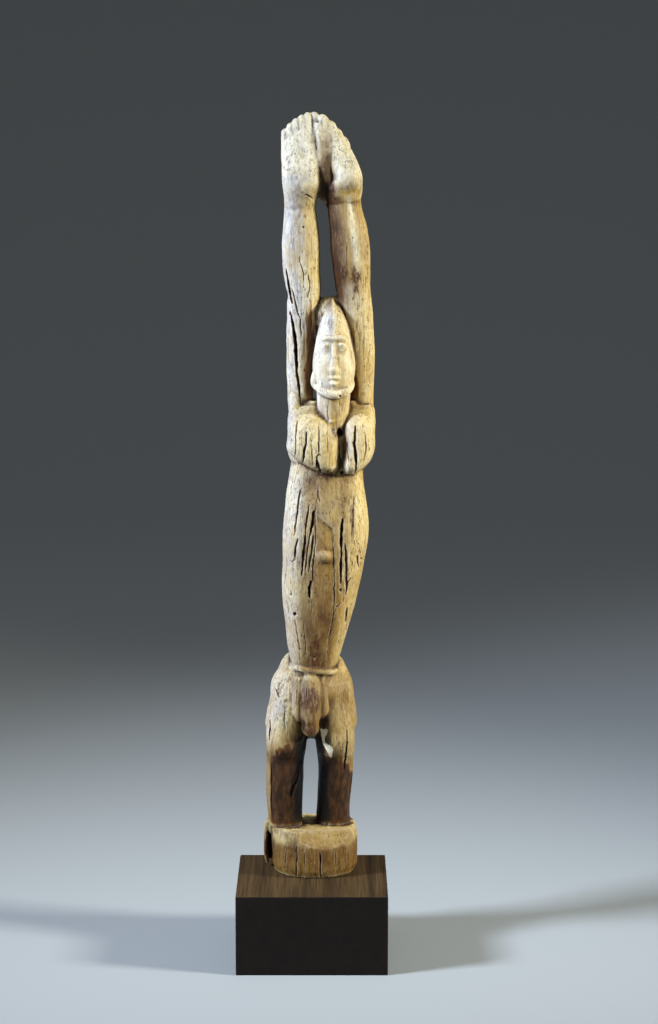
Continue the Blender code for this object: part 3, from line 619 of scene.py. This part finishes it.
def move_to(mesh, points):
    """Puts the mesh's points at the rows of x, y, z."""
    mesh.vertices.foreach_set("co", points.ravel())
    mesh.update()


def outward(mesh):
    """The normals of the mesh's points."""
    normals = np.empty(len(mesh.vertices) * 3)
    mesh.vertex_normals.foreach_get("vector", normals)
    return normals.reshape(-1, 3)


def joined(mesh):
    """The pairs of points that the edges join, and how many edges meet at each point."""
    edges = np.empty(len(mesh.edges) * 2, int)
    mesh.edges.foreach_get("vertices", edges)
    degree = np.bincount(edges, minlength=len(mesh.vertices))
    return edges.reshape(-1, 2), degree


def averaged(values, ends, degree):
    """Each point's mean of the values at its neighbours."""
    total = np.zeros_like(values)
    count = len(values)
    for column in range(values.shape[1]):
        total[:, column] = np.bincount(ends[:, 0], values[ends[:, 1], column], count)
        total[:, column] += np.bincount(ends[:, 1], values[ends[:, 0], column], count)
    return total / degree[:, None]


def soften_creases(mesh):
    """Rounds the hollows between masses, and leaves ridges as they are."""
    ends, degree = joined(mesh)
    points = positions(mesh)
    for _ in range(CREASE_ROUNDS):
        shift = averaged(points, ends, degree) - points
        hollow = (shift * outward(mesh)).sum(axis=1) > LEAST_CREASE
        points[hollow] += shift[hollow] * CREASE_SHARE
        move_to(mesh, points)


def speckle(points, size, seed):
    """Smooth random values from -1 to 1; size is the size of their cells along x, y, z."""
    cells = 24
    lattice = np.random.default_rng(seed).uniform(-1, 1, (cells, cells, cells))
    at = points / np.array(size, float)
    low = np.floor(at).astype(int)
    part = at - low
    part = part * part * (3 - 2 * part)
    total = np.zeros(len(points))
    for corner in range(8):
        step = np.array([corner & 1, (corner >> 1) & 1, (corner >> 2) & 1])
        share = np.where(step, part, 1 - part).prod(axis=1)
        x, y, z = ((low + step) % cells).T
        total += share * lattice[x, y, z]
    return total


def distance_to(path, across, height):
    """Distance from each point to the path, and how far along the path the nearest place is."""
    best = np.full(len(across), np.inf)
    share = np.zeros(len(across))
    for k, (start, end) in enumerate(zip(path, path[1:])):
        leg = end - start
        t = ((across - start[0]) * leg[0] + (height - start[1]) * leg[1]) / (leg @ leg)
        t = np.clip(t, 0, 1)
        away = np.hypot(across - start[0] - t * leg[0], height - start[1] - t * leg[1])
        nearer = away < best
        best = np.where(nearer, away, best)
        share = np.where(nearer, (k + t) / (len(path) - 1), share)
    return best, share


def facing(side, points, normals):
    """Coordinate across that side, axis it faces along, its sign, and how much points face it."""
    axis, sign = SIDES[side]
    across = points[:, 1 - axis]
    weight = np.clip(normals[:, axis] * sign * 2.5, 0, 1)
    return across, axis, sign, weight


def all_splits():
    """The drawn splits, and many thin random ones all round but not on the face."""
    random = np.random.default_rng(11)
    splits = [(side, *split) for side, table in SPLITS.items() for split in table]
    for _ in range(HAIRLINES):
        side = random.choice(list(SIDES))
        reach = (-45, 60) if side in ("front", "back") else (-25, 25)
        across = random.uniform(*reach)
        height = random.uniform(5, 630)
        long = random.uniform(12, 60)
        lean = random.uniform(-0.04, 0.04)
        path = []
        for k in (0, 0.4, 1):
            path += [across + lean * long * k + random.uniform(-0.8, 0.8), height + long * k]
        sizes = (random.uniform(0.35, 0.7), random.uniform(0.5, 1.3))
        on_face = side == "front" and 2 < across < 41 and height + long > 484 and height < 560
        if not on_face:
            splits.append((side, *sizes, *path))
    return splits


def split_field(points, normals):
    """Nearness to the splits and holes, 1 in their middle and 0 at their edges, and their cut."""
    push = np.zeros_like(points)
    field = np.full(len(points), FAR_FROM_SPLITS)
    wobble = speckle(points, (3, 3, 7), 3) * 0.55 + speckle(points, (2, 2, 3), 4) * 0.25
    ragged = 1 + speckle(points, (2, 2, 5), 6) * 0.35 + speckle(points, (3, 3, 11), 7) * 0.4
    z = points[:, 2]
    for side, half_width, depth, *path in all_splits():
        path = np.reshape(path, (-1, 2))
        near = (z > path[:, 1].min() - 4) & (z < path[:, 1].max() + 4)
        if not near.any():
            continue
        across, axis, sign, weight = facing(side, points[near], normals[near])
        away, share = distance_to(path, across + wobble[near], z[near])
        taper = np.clip(4 * share * (1 - share), 0, 1) ** 0.5
        inside = 1 - away / (half_width * (0.25 + 0.75 * taper) * ragged[near])
        inside -= (1 - weight) * 3
        deep = np.clip(inside, 0, 1) * (2 - np.clip(inside, 0, 1))
        push[near, axis] -= deep * depth * taper * sign * SPLIT_CUT
        shown = np.minimum(inside, 0.1 + depth / 9)
        field[near] = np.maximum(field[near], np.maximum(shown, FAR_FROM_SPLITS))
    for side, across_at, height, radius in HOLES:
        across, axis, sign, weight = facing(side, points, normals)
        away = np.hypot(across - across_at, z - height)
        inside = 1 - away / (radius * ragged) - (1 - weight) * 3
        push[:, axis] -= np.clip(inside * 1.6, 0, 1) * radius * HOLE_CUT * sign
        field = np.maximum(field, np.where(inside > -0.2, inside, FAR_FROM_SPLITS))
    return field, push


def soft(distance, width=1.2):
    """0 well outside, 1 well inside, with a soft edge."""
    return np.clip(distance / width + 0.5, 0, 1)


def band(value, low, high, low_edge=1.2, high_edge=1.2):
    """1 between low and high, 0 outside, with soft edges of the given widths."""
    return soft(value - low, low_edge) * soft(high - value, high_edge)


def between_edges(points, left, right):
    """How far inside a shape of the front each point is; its edges are heights and x."""
    return band(points[:, 0], np.interp(points[:, 2], *left), np.interp(points[:, 2], *right))


def in_scar(points, normals):
    """How far inside the scar on the belly each point is, from 0 to 1."""
    x, _, z = points.T
    inside = between_edges(points, SCAR_LEFT, SCAR_RIGHT)
    inside *= soft(np.interp(x, *SCAR_TOP) - z) * soft(z - 300, 24)
    return inside * np.clip(-normals[:, 1] * 3, 0, 1)


def on_face(points, normals):
    """How much each point belongs to the face, from 0 to 1."""
    x, _, z = points.T
    near = np.exp(-(((x - FACE_MIDDLE) / 15) ** 4) - ((z - 520) / 28) ** 4)
    return near * np.clip(-normals[:, 1], 0, 1)


def facet_fall(points):
    """How far the slanting facet in front of the feet lies below the block's top."""
    return points[:, 0] * FACET_FALL[0] + points[:, 1] * FACET_FALL[1] + FACET_FALL[2]


def patches(table, points, normals):
    """How strongly the soft-edged patches of a table cover each point of the front."""
    x, _, z = points.T
    ripple = speckle(points, (5, 5, 10), 21) * 0.35
    cover = np.zeros(len(points))
    for across, height, wide, tall, strength in table:
        away = np.hypot((x - across) / wide, (z - height) / tall) + ripple
        cover = np.maximum(cover, strength * np.clip(1.6 - away * 1.1, 0, 1))
    return cover * np.clip(0.3 - normals[:, 1] * 2, 0, 1)


def press_dents(mesh):
    """Presses the soft dents, the scar and the slanting facet into the mesh."""
    points = positions(mesh)
    normals = outward(mesh)
    for centre, halves, depth in DENTS:
        away = np.linalg.norm((points - centre) / halves, axis=1)
        points -= normals * (depth * np.exp(-(away**2) * 2))[:, None]
    points[:, 1] += in_scar(points, normals) * SCAR_DEPTH
    fall = facet_fall(points) - np.clip(FACET_LEFT - points[:, 0], 0, None) * 1.5
    facet = BLOCK_TOP - np.clip(fall, 0, None)
    on_block = points[:, 2] < BLOCK_TOP + 1.5
    points[on_block, 2] = np.minimum(points[on_block, 2], facet[on_block])
    move_to(mesh, points)


def weather(mesh):
    """Gives the surface its chisel marks, its fibres and its pits, fainter on the face."""
    points = positions(mesh)
    normals = outward(mesh)
    chisel = speckle(points, (11, 11, 30), 11) * 0.6 + speckle(points, (6, 6, 16), 16) * 0.25
    fibre = speckle(points, (2.2, 2.2, 26), 12) * 0.24 + speckle(points, (1.4, 1.4, 12), 13) * 0.16
    pit = np.clip(speckle(points, (2.4, 2.4, 6), 14) - 0.45, 0, 1) * -1.4
    worn = np.clip(0.6 + speckle(points, (30, 30, 60), 15), 0.15, 1.2)
    shift = (chisel + (fibre + pit) * worn) * (1 - 0.75 * on_face(points, normals))
    points += normals * shift[:, None]
    move_to(mesh, points)


def flat_underside(mesh):
    """Cuts the carving off level at height 0, and closes the cut."""
    clay = bmesh.new()
    clay.from_mesh(mesh)
    everything = clay.verts[:] + clay.edges[:] + clay.faces[:]
    cut = bmesh.ops.bisect_plane(
        clay, geom=everything, plane_co=(0, 0, 0), plane_no=(0, 0, 1), clear_inner=True
    )
    rim = [part for part in cut["geom_cut"] if isinstance(part, bmesh.types.BMEdge)]
    bmesh.ops.holes_fill(clay, edges=rim)
    bmesh.ops.triangulate(clay, faces=clay.faces[:])
    return clay


def note(mesh, name, *values):
    """Stores the largest of the values at each point of the mesh, for the material to read."""
    layer = mesh.attributes.new(name, "FLOAT", "POINT")
    layer.data.foreach_set("value", np.asarray(np.maximum.reduce(values), np.float32))


def hollowness(mesh, rounds):
    """How far each point lies below its surroundings, in steps."""
    ends, degree = joined(mesh)
    points = positions(mesh)
    smooth = points.copy()
    for _ in range(rounds):
        smooth = averaged(smooth, ends, degree)
    return ((smooth - points) * outward(mesh)).sum(axis=1)


def note_relief(mesh, points, normals):
    """Stores where the wood is split, hollow and ridged."""
    note(mesh, "split", split_field(points, normals)[0])
    fine = hollowness(mesh, 4)
    broad = hollowness(mesh, 40)
    hollow = np.clip(broad * 0.5 + fine, 0, 1)
    note(mesh, "hollow", hollow * (1 - on_face(points, normals) * 0.4))
    note(mesh, "ridge", np.clip(-fine * 2.5, 0, 1))


def brown_shins(points):
    """Where the shins are brown, with a ragged upper edge."""
    x, _, z = points.T
    ripple = speckle(points, (6, 6, 12), 22) * 5 + speckle(points, (2.2, 2.2, 14), 23) * 6
    shins = soft(np.interp(x, *SHIN_TOP) + ripple - z, 9)
    return shins * soft(z - 51, 3) * soft(x + 41.5, 3)


def painted_shade_between_arms(points, normals):
    """Where the arms' inner sides, which face the head, are painted with brown shade."""
    x, _, z = points.T
    inward = np.sign(20 - x) * normals[:, 0]
    brown = soft((inward - 0.35) * 10, 5) * soft(np.abs(x - 20) - 12, 4) * soft(z - 484, 14)
    hair = soft(z - 550, 24) * (x < 40) * (x > 0)
    return brown * np.where(x < 12, soft(576 - z, 30), soft(690 - z, 40)) * (1 - hair)


def note_painted_shade(mesh, points, normals, inner_arm_shade):
    """Stores the nearly black painted shade: on the legs' inner sides, on the right shin's inner
    side, on the right arm's inner side, at the wrists and in deep gaps.
    """
    x, _, z = points.T
    inner_leg_shade = soft(np.sign(3 - x) * normals[:, 0] * 10 - 4, 5) * band(z, 50, 150, 8, 16)
    right_shin_shade = band(x, 0, 17, 1.2, 5) * band(z, 50, SHIN_SHADE_TOP, 4, 12)
    wrist_shade = np.exp(-(((x - 15) / 7) ** 2) - ((z - 685) / 7) ** 2)
    gap_shade = patches(SHADE_PATCHES, points, normals)
    # All of this black is painted shade, where the parts hide one another from the light.
    note(mesh, "dark", inner_leg_shade, right_shin_shade, inner_arm_shade * 0.6, wrist_shade * 0.9, gap_shade)


def note_glaze(mesh, points, normals, arm_highlight, knees):
    """Stores the tan glaze of handled places, the warmer ochre of some of them, and painted warm
    light on the right-facing sides.
    """
    x, _, z = points.T
    middle = np.interp(z, *TORSO_MIDDLE)
    trunk = soft(np.interp(z, *TAN_REACH) - np.abs(x - middle), 12)
    trunk *= np.clip(-normals[:, 1] * 2, 0, 1) * np.interp(z, *TAN_STRENGTH)
    base = band(z, 2, 34, 4, 8)
    front = soft(facet_fall(points) + 2, 6) * soft(50 - z, 4) * 0.6
    loins = soft(20 - np.abs(x), 12) * band(z, 140, 204, 20, 6) * 0.85
    right_arm = soft(x - 24, 6) * band(z, 585, 676, 30, 6) * (1 - arm_highlight)
    thighs = band(z, 50, 206, 6, 10) * np.where(x > 0, 0.65, 0.2)
    flanks = band(z, 206, 350, 10, 60) * 0.3
    web = band(x, 8, 21, 3, 4) * band(z, 676, 735, 6, 40)
    note(mesh, "tan", trunk, base, front, loins, right_arm * 0.35, knees, thighs, flanks, web)
    heels = soft(x - 20, 4) * band(z, 674, 696, 4, 6) * 0.8
    # Right-facing sides are painted warmer, as if lit by a warm light from the right.
    right_side_warm_light = soft(normals[:, 0] * 10 + (x - 12) / 4, 12) * 0.5
    scar = in_scar(points, normals) * 0.9
    note(mesh, "ochre_and_warm_light", web, heels, right_side_warm_light, base * 0.6, scar, right_arm * 0.9)


def note_pales(mesh, points, normals, arm_highlight, tinted):
    """Stores the cream, bleached and rubbed places, with painted light among them: lighter
    left-facing sides, the right arm's highlight and the highlight on the thigh's flake; tinted is
    what isn't bleached.
    """
    x, y, z = points.T
    left_arm = soft(6 - x, 10) * soft(z - 480, 20)
    hands = soft(z - 694, 20)
    head = band(z, 486, 595, 8, 8) * soft(-y - 14, 8)
    # The cream also carries the painted highlight down the right arm.
    note(mesh, "cream_and_highlight", hands * 0.7, head * 0.4, arm_highlight * 0.9)
    # Left-facing sides are painted lighter, as if lit from the left, and the right arm's highlight
    # is added; the rest is grey bleached wood.
    bleach_and_painted_light = left_arm * 0.4 - normals[:, 0] * 0.8 + hands * 0.5 + head * 0.35 + arm_highlight * 0.4
    low = soft(54 - z, 10) * 0.8
    note(mesh, "bleach_and_painted_light", np.clip(bleach_and_painted_light - tinted - low, 0, 1))
    # The flake is a worn facet with a painted highlight.
    flake_highlight = between_edges(points, FLAKE_LEFT, FLAKE_RIGHT) * band(z, 121, 152) * (y < 5)
    note(mesh, "rubbed_and_highlight", patches(RUBBED, points, normals), flake_highlight)


def note_wear(mesh):
    """Stores all that the material reads at the mesh's points."""
    points = positions(mesh)
    normals = outward(mesh)
    x, _, z = points.T
    note_relief(mesh, points, normals)
    note(mesh, "stain", patches(STAINS, points, normals))
    note(mesh, "smear", patches(SMEARS, points, normals))
    shins = brown_shins(points)
    # Painted shade on the arms' inner sides, which face the head.
    arms_shade = painted_shade_between_arms(points, normals)
    # Painted shade on the right arm's inner side.
    inner_arm_shade = soft((-normals[:, 0] - 0.35) * 10, 7) * (x > 14) * band(z, 572, 686, 20, 20)
    # The brown is real on the shins and painted shade on the arms' inner sides.
    note(mesh, "brown", shins, arms_shade * 0.8, inner_arm_shade * 0.5)
    note_painted_shade(mesh, points, normals, inner_arm_shade)
    # The painted highlight down the right arm.
    arm_highlight = np.exp(-(((x - np.interp(z, *ARM_HIGHLIGHT)) / 3.2) ** 2)) * band(z, 600, 678, 30, 6)
    knees = np.clip((np.interp(x, *SHIN_TOP) + 36 - z) / 32, 0, 0.85) * soft(z - 50, 6)
    note_glaze(mesh, points, normals, arm_highlight, knees)
    note_pales(mesh, points, normals, arm_highlight, arms_shade + shins + knees * 0.6)


def build_figure():
    """The carving in full detail, as one mesh."""
    voxel = VOXEL
    remesh = ("REMESH", {"mode": "VOXEL", "voxel_size": voxel})
    soften = ("SMOOTH", {"factor": 0.5, "iterations": SOFTEN_ROUNDS})
    carved = evaluated(rough_form(), [remesh, soften])
    soften_creases(carved)
    press_dents(carved)
    weather(carved)
    _, push = split_field(positions(carved), outward(carved))
    move_to(carved, positions(carved) + push)
    level = flat_underside(carved)
    share = min(1, MOST_TRIANGLES / len(level.faces))
    mesh = evaluated(level, [("DECIMATE", {"ratio": share, "use_collapse_triangulate": True})])
    note_wear(mesh)
    mesh.transform(Matrix.Scale(STEP, 4))
    mesh.transform(Matrix.Translation((0, SET_BACK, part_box("figure")[0].z)))
    mesh.shade_smooth()
    return placed("figure_wood", mesh)


class Nodes:
    """A short way to write the nodes of one material."""

    def __init__(self, name):
        self.material = bpy.data.materials.new(name)
        self.material.use_nodes = True
        self.tree = self.material.node_tree
        self.shader = self.tree.nodes["Principled BSDF"]
        self.place = self.add("ShaderNodeTexCoord").outputs["Object"]

    def put(self, node, inputs):
        """Links or sets the inputs of a node, by name or number."""
        for key, value in inputs.items():
            if isinstance(value, bpy.types.NodeSocket):
                self.tree.links.new(value, node.inputs[key])
            else:
                node.inputs[key].default_value = value

    def add(self, kind, inputs=None, **settings):
        """A new node."""
        node = self.tree.nodes.new(kind)
        for key, value in settings.items():
            setattr(node, key, value)
        self.put(node, inputs or {})
        return node

    def stretched(self, size):
        """Places divided by the size along x, y, z, in metres."""
        scale = [1 / value for value in size]
        return self.add("ShaderNodeMapping", {"Vector": self.place, "Scale": scale}).outputs[0]

    def noise(self, size, detail=3.0, rough=0.55, bend=0.0):
        inputs = {"Vector": self.stretched(size), "Scale": 1}
        inputs |= {"Detail": detail, "Roughness": rough, "Distortion": bend}
        return self.add("ShaderNodeTexNoise", inputs).outputs["Fac"]

    def spots(self, size):
        """Distance to the nearest of many scattered dots."""
        inputs = {"Vector": self.stretched(size), "Scale": 1}
        return self.add("ShaderNodeTexVoronoi", inputs).outputs["Distance"]

    def span(self, value, low, high, to_low=0.0, to_high=1.0):
        """The value, moved smoothly from one range to another."""
        inputs = {"Value": value, "From Min": low, "From Max": high}
        inputs |= {"To Min": to_low, "To Max": to_high}
        return self.add("ShaderNodeMapRange", inputs, interpolation_type="SMOOTHSTEP").outputs[0]

    def maths(self, operation, first, second=0.0):
        return self.add("ShaderNodeMath", {0: first, 1: second}, operation=operation).outputs[0]

    def times(self, first, second):
        return self.maths("MULTIPLY", first, second)

    def mixed(self, share, first, second, blend="MIX"):
        """The first colour with this share of the second."""
        node = self.add("ShaderNodeMix", data_type="RGBA", blend_type=blend)
        self.put(node, {0: share, MIX_FIRST: first, MIX_SECOND: second})
        return node.outputs[MIX_RESULT]

    def layered(self, colour, *layers):
        """The colour under layers of (share, colour) or (share, colour, blend)."""
        for share, *layer in layers:
            colour = self.mixed(share, colour, *layer)
        return colour

    def wear(self, name):
        """What note_wear stored under this name."""
        return self.add("ShaderNodeAttribute", attribute_name=name).outputs["Fac"]

    def broken(self, name, noise, low, high, to_low, to_high):
        """A stored wear, stronger and weaker with a noise."""
        return self.times(self.wear(name), self.span(noise, low, high, to_low, to_high))

    def finish(self, colour, roughness, height, relief):
        """The material, with a bump of this relief in metres."""
        bump = self.add("ShaderNodeBump", {"Distance": relief, "Strength": 1, "Height": height})
        surface = {"Base Color": colour, "Roughness": roughness, "Normal": bump.outputs[0]}
        self.put(self.shader, surface)
        return self.material


class WoodPattern:
    """The noises that the colours of the weathered wood share, from broad to fine."""

    def __init__(self, n):
        self.cloud = n.noise((0.03, 0.03, 0.08), 4)
        self.patch = n.noise((0.012, 0.012, 0.03), 4, 0.6)
        self.mottle = n.noise((0.005, 0.005, 0.013), 4, 0.65)
        self.thread = n.noise((0.005, 0.005, 0.13), 2, 0.5, 0.1)
        self.fleck = n.noise((0.0026, 0.0026, 0.0045), 5, 0.7)
        self.fibre = n.noise((0.0016, 0.0016, 0.045), 4, 0.6, 0.3)
        self.fine = n.noise((0.0007, 0.0007, 0.012), 3, 0.6)


def rgb(red, green, blue):
    """A colour given from 0 to 255 as seen on a screen."""
    return tuple((value / 255) ** 2.2 for value in (red, green, blue)) + (1,)


def pale_wood(n, p):
    """Bare wood with ochre, grey, chalky and cream places, dark fibres and pale ridges, and painted
    light: warmer right-facing sides, lighter left-facing sides and a highlight down the right arm.
    """
    return n.layered(
        n.mixed(n.span(p.cloud, 0.35, 0.65), rgb(170, 142, 82), rgb(210, 190, 130)),
        # Ochre, with painted warm light on the right-facing sides.
        (n.times(n.wear("ochre_and_warm_light"), 0.75), rgb(190, 154, 70)),
        # Grey and near-white bleached wood, with painted light on the left-facing sides and the
        # right arm's highlight.
        (n.broken("bleach_and_painted_light", p.patch, 0.3, 0.6, 0.35, 0.95), rgb(194, 195, 202)),
        (n.broken("bleach_and_painted_light", p.mottle, 0.5, 0.66, 0, 0.7), rgb(232, 231, 230)),
        # Cream, with the painted highlight down the right arm.
        (n.broken("cream_and_highlight", p.mottle, 0.36, 0.56, 0.35, 1), rgb(236, 230, 202)),
        (n.span(p.fibre, 0.28, 0.52, 0.6, 0), rgb(122, 88, 50)),
        (n.span(p.fine, 0.3, 0.5, 0.4, 0), rgb(96, 70, 44)),
        (n.times(n.wear("ridge"), 0.35), rgb(234, 224, 196)),
    )


def flecked(n, p, colour):
    """The colour with brown blotches, pale scuffs and dark flecks."""
    blotch = n.times(n.span(p.patch, 0.56, 0.68, 0, 0.6), n.span(p.mottle, 0.42, 0.6))
    scuff = n.times(n.span(p.fleck, 0.36, 0.46, 0.5, 0), n.span(p.patch, 0.35, 0.6, 0.2, 0.9))
    dark = n.times(n.span(p.fleck, 0.54, 0.66), n.span(p.cloud, 0.4, 0.6, 0.2, 0.8))
    return n.layered(
        colour, (blotch, rgb(112, 74, 44)), (scuff, rgb(228, 216, 180)), (dark, rgb(84, 62, 38))
    )


def glazed(n, p, colour):
    """The colour under its tan glaze, its blue-grey smears and its brown, which is real on the
    shins and painted shade on the arms' inner sides.
    """
    brown = n.times(n.span(n.wear("brown"), 0.3, 0.9), n.span(p.mottle, 0.3, 0.45, 0.9, 1))
    rust_and_shade = n.mixed(n.span(p.mottle, 0.36, 0.66), rgb(44, 28, 14), rgb(84, 54, 26))
    return n.layered(
        colour,
        (n.broken("tan", p.patch, 0.3, 0.6, 0.75, 1), rgb(156, 132, 88), "MULTIPLY"),
        (n.broken("smear", p.mottle, 0.4, 0.56, 0.3, 1), rgb(206, 214, 240), "MULTIPLY"),
        # Brown: real on the shins, painted shade on the arms' inner sides.
        (n.span(n.wear("brown"), 0, 0.5), rgb(176, 128, 84), "MULTIPLY"),
        (brown, rust_and_shade),
    )


def stained(n, p, colour):
    """The colour with its soft stains, their crisp grains, and brown in the hollows that is partly
    dirt and partly painted shade.
    """
    grain = n.maths("ADD", n.times(p.mottle, 0.35), n.times(p.fleck, 0.65))
    crisp = n.maths("ADD", n.times(n.wear("stain"), 0.54), grain)
    return n.layered(
        colour,
        (n.broken("stain", p.mottle, 0.4, 0.54, 0.25, 0.9), rgb(84, 52, 26)),
        (n.span(crisp, 0.88, 1.04, 0, 0.85), rgb(74, 40, 20)),
        # Brown in the hollows: partly dirt, partly painted shade.
        (n.broken("hollow", p.mottle, 0.25, 0.55, 0.55, 1), rgb(64, 40, 24)),
    )


def opened(n, colour):
    """The colour with a painted highlight along the lips of the splits, black painted shade, rubbed
    places with the painted highlight on the thigh's flake, and dark splits.
    """
    split = n.wear("split")
    lip_highlight = n.times(n.span(split, -1.2, -0.3), n.span(split, -0.25, 0.05, 1, 0))
    return n.layered(
        colour,
        # A painted highlight along the worn lips of the splits.
        (n.times(lip_highlight, n.span(n.wear("brown"), 0, 0.5, 0.15, 0)), rgb(230, 218, 186)),
        # Black painted shade where the parts hide one another from the light.
        (n.wear("dark"), rgb(10, 6, 5)),
        # Rubbed places, and the painted highlight on the thigh's flake.
        (n.span(n.wear("rubbed_and_highlight"), 0.3, 0.7), rgb(242, 232, 202)),
        (n.span(split, -0.1, 0.25, 0, 0.9), rgb(160, 120, 76), "MULTIPLY"),
        (n.span(split, 0.4, 0.9), rgb(36, 22, 13)),
    )


def old_wood():
    """Weathered pale wood with brown stains, grey bloom, dark splits and pits, with painted light
    and shade among them.
    """
    n = Nodes("weathered_wood")
    p = WoodPattern(n)
    colour = stained(n, p, glazed(n, p, flecked(n, p, pale_wood(n, p))))
    pits = n.span(n.spots((0.0030, 0.0030, 0.006)), 0.10, 0.26, 1, 0)
    pits = n.times(pits, n.span(p.patch, 0.44, 0.6, 0, 0.7))
    off = n.maths("ABSOLUTE", n.maths("SUBTRACT", p.thread, 0.5))
    cracks = n.times(n.span(off, 0.002, 0.009, 1, 0), n.span(p.patch, 0.46, 0.6, 0, 0.6))
    colour = n.layered(colour, (pits, rgb(84, 62, 42)), (cracks, rgb(72, 50, 32)))
    n.put(n.shader, {"Specular IOR Level": 0.3})
    roughness = n.span(p.patch, 0.3, 0.7, 0.4, 0.65)
    height = n.maths("ADD", p.fibre, n.times(p.fine, 0.6))
    height = n.maths("SUBTRACT", height, n.maths("MAXIMUM", pits, cracks))
    return n.finish(opened(n, colour), roughness, height, FIGURE_RELIEF)


def stained_wood():
    """Dark stained, nearly black wood with fine straight grain, and painted light on its top."""
    n = Nodes("stained_wood")
    grain = n.noise((0.0012, 0.08, 0.0012), 4, 0.6, 0.2)
    streaks = n.noise((0.014, 0.3, 0.014), 3)
    normal = n.add("ShaderNodeNewGeometry").outputs["Normal"]
    upward = n.add("ShaderNodeSeparateXYZ", {"Vector": normal}).outputs["Z"]
    # Upward faces are painted lighter, as if lit from above.
    lit_top = n.times(n.span(upward, 0.5, 0.9), n.span(grain, 0.3, 0.6, 0.45, 0.95))
    colour = n.layered(
        n.mixed(n.span(grain, 0.35, 0.65), rgb(8, 6, 6), rgb(34, 25, 19)),
        (lit_top, rgb(86, 68, 46)),
        (n.span(streaks, 0.4, 0.65, 0, 0.5), rgb(14, 11, 9)),
    )
    n.put(n.shader, {"Specular IOR Level": 0.2})
    return n.finish(colour, n.span(grain, 0.3, 0.7, 0.5, 0.68), grain, PLINTH_RELIEF)


def backdrop():
    """A plain pale floor that bends up into a wall behind."""
    sweep = [(-FLOOR_REACH, 0.0), (FLOOR_BACK, 0.0)]
    for turn in np.linspace(0.05, math.pi / 2, 24):
        rise = WALL_BEND * (1 - math.cos(turn))
        sweep.append((FLOOR_BACK + WALL_BEND * math.sin(turn), rise))
    sweep.append((FLOOR_BACK + WALL_BEND, WALL_TOP))
    clay = bmesh.new()
    left = [clay.verts.new((-FLOOR_REACH, y, z)) for y, z in sweep]
    right = [clay.verts.new((FLOOR_REACH, y, z)) for y, z in sweep]
    for k in range(len(sweep) - 1):
        clay.faces.new((left[k], right[k], right[k + 1], left[k + 1]))
    mesh = bpy.data.meshes.new("backdrop")
    clay.to_mesh(mesh)
    clay.free()
    mesh.shade_smooth()
    n = Nodes("pale_paper")
    n.put(n.shader, {"Base Color": PAPER_COLOUR, "Roughness": 0.9})
    mesh.materials.append(n.material)
    floor = placed("backdrop", mesh)


def area_light(name, place, size, spread, watts, colour):
    """A square soft light that is aimed at the figure; its spread is in degrees."""
    lamp = bpy.data.lights.new(name, "AREA")
    lamp.size = size
    lamp.spread = math.radians(spread)
    lamp.energy = watts
    lamp.color = colour
    light = placed(name, lamp)
    light.location = place
    light.rotation_euler = (Vector(LIGHT_AIM) - Vector(place)).to_track_quat("-Z", "Y").to_euler()


def add_camera():
    """The camera, at the photograph's viewing angle."""
    lens = bpy.data.cameras.new("camera")
    lens.lens = CAMERA_LENS
    lens.sensor_width = CAMERA_SENSOR
    camera = placed("camera", lens)
    camera.location = CAMERA_PLACE
    camera.rotation_euler = (math.pi / 2 - CAMERA_TILT, 0, 0)
    bpy.context.scene.camera = camera


def studio():
    """Floor, lights, surroundings and camera."""
    backdrop()
    for light in LIGHTS:
        area_light(*light)
    bpy.context.scene.view_settings.view_transform = "Standard"
    world = bpy.data.worlds.new("studio")
    bpy.context.scene.world = world
    world.use_nodes = True
    background = world.node_tree.nodes["Background"]
    background.inputs["Color"].default_value = ROOM_COLOUR
    background.inputs["Strength"].default_value = ROOM_STRENGTH
    add_camera()


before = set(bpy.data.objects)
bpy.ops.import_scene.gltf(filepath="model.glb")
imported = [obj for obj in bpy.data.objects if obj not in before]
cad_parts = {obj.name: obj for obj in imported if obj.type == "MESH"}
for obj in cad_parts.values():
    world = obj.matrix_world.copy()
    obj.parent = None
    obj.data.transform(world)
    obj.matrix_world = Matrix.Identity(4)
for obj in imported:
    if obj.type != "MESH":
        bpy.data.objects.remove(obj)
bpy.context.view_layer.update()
wood = build_figure()
wood.data.materials.clear()
wood.data.materials.append(old_wood())
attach(wood, "root")
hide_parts("figure")
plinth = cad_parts["plinth"]
plinth.data.materials.clear()
plinth.data.materials.append(stained_wood())
studio()
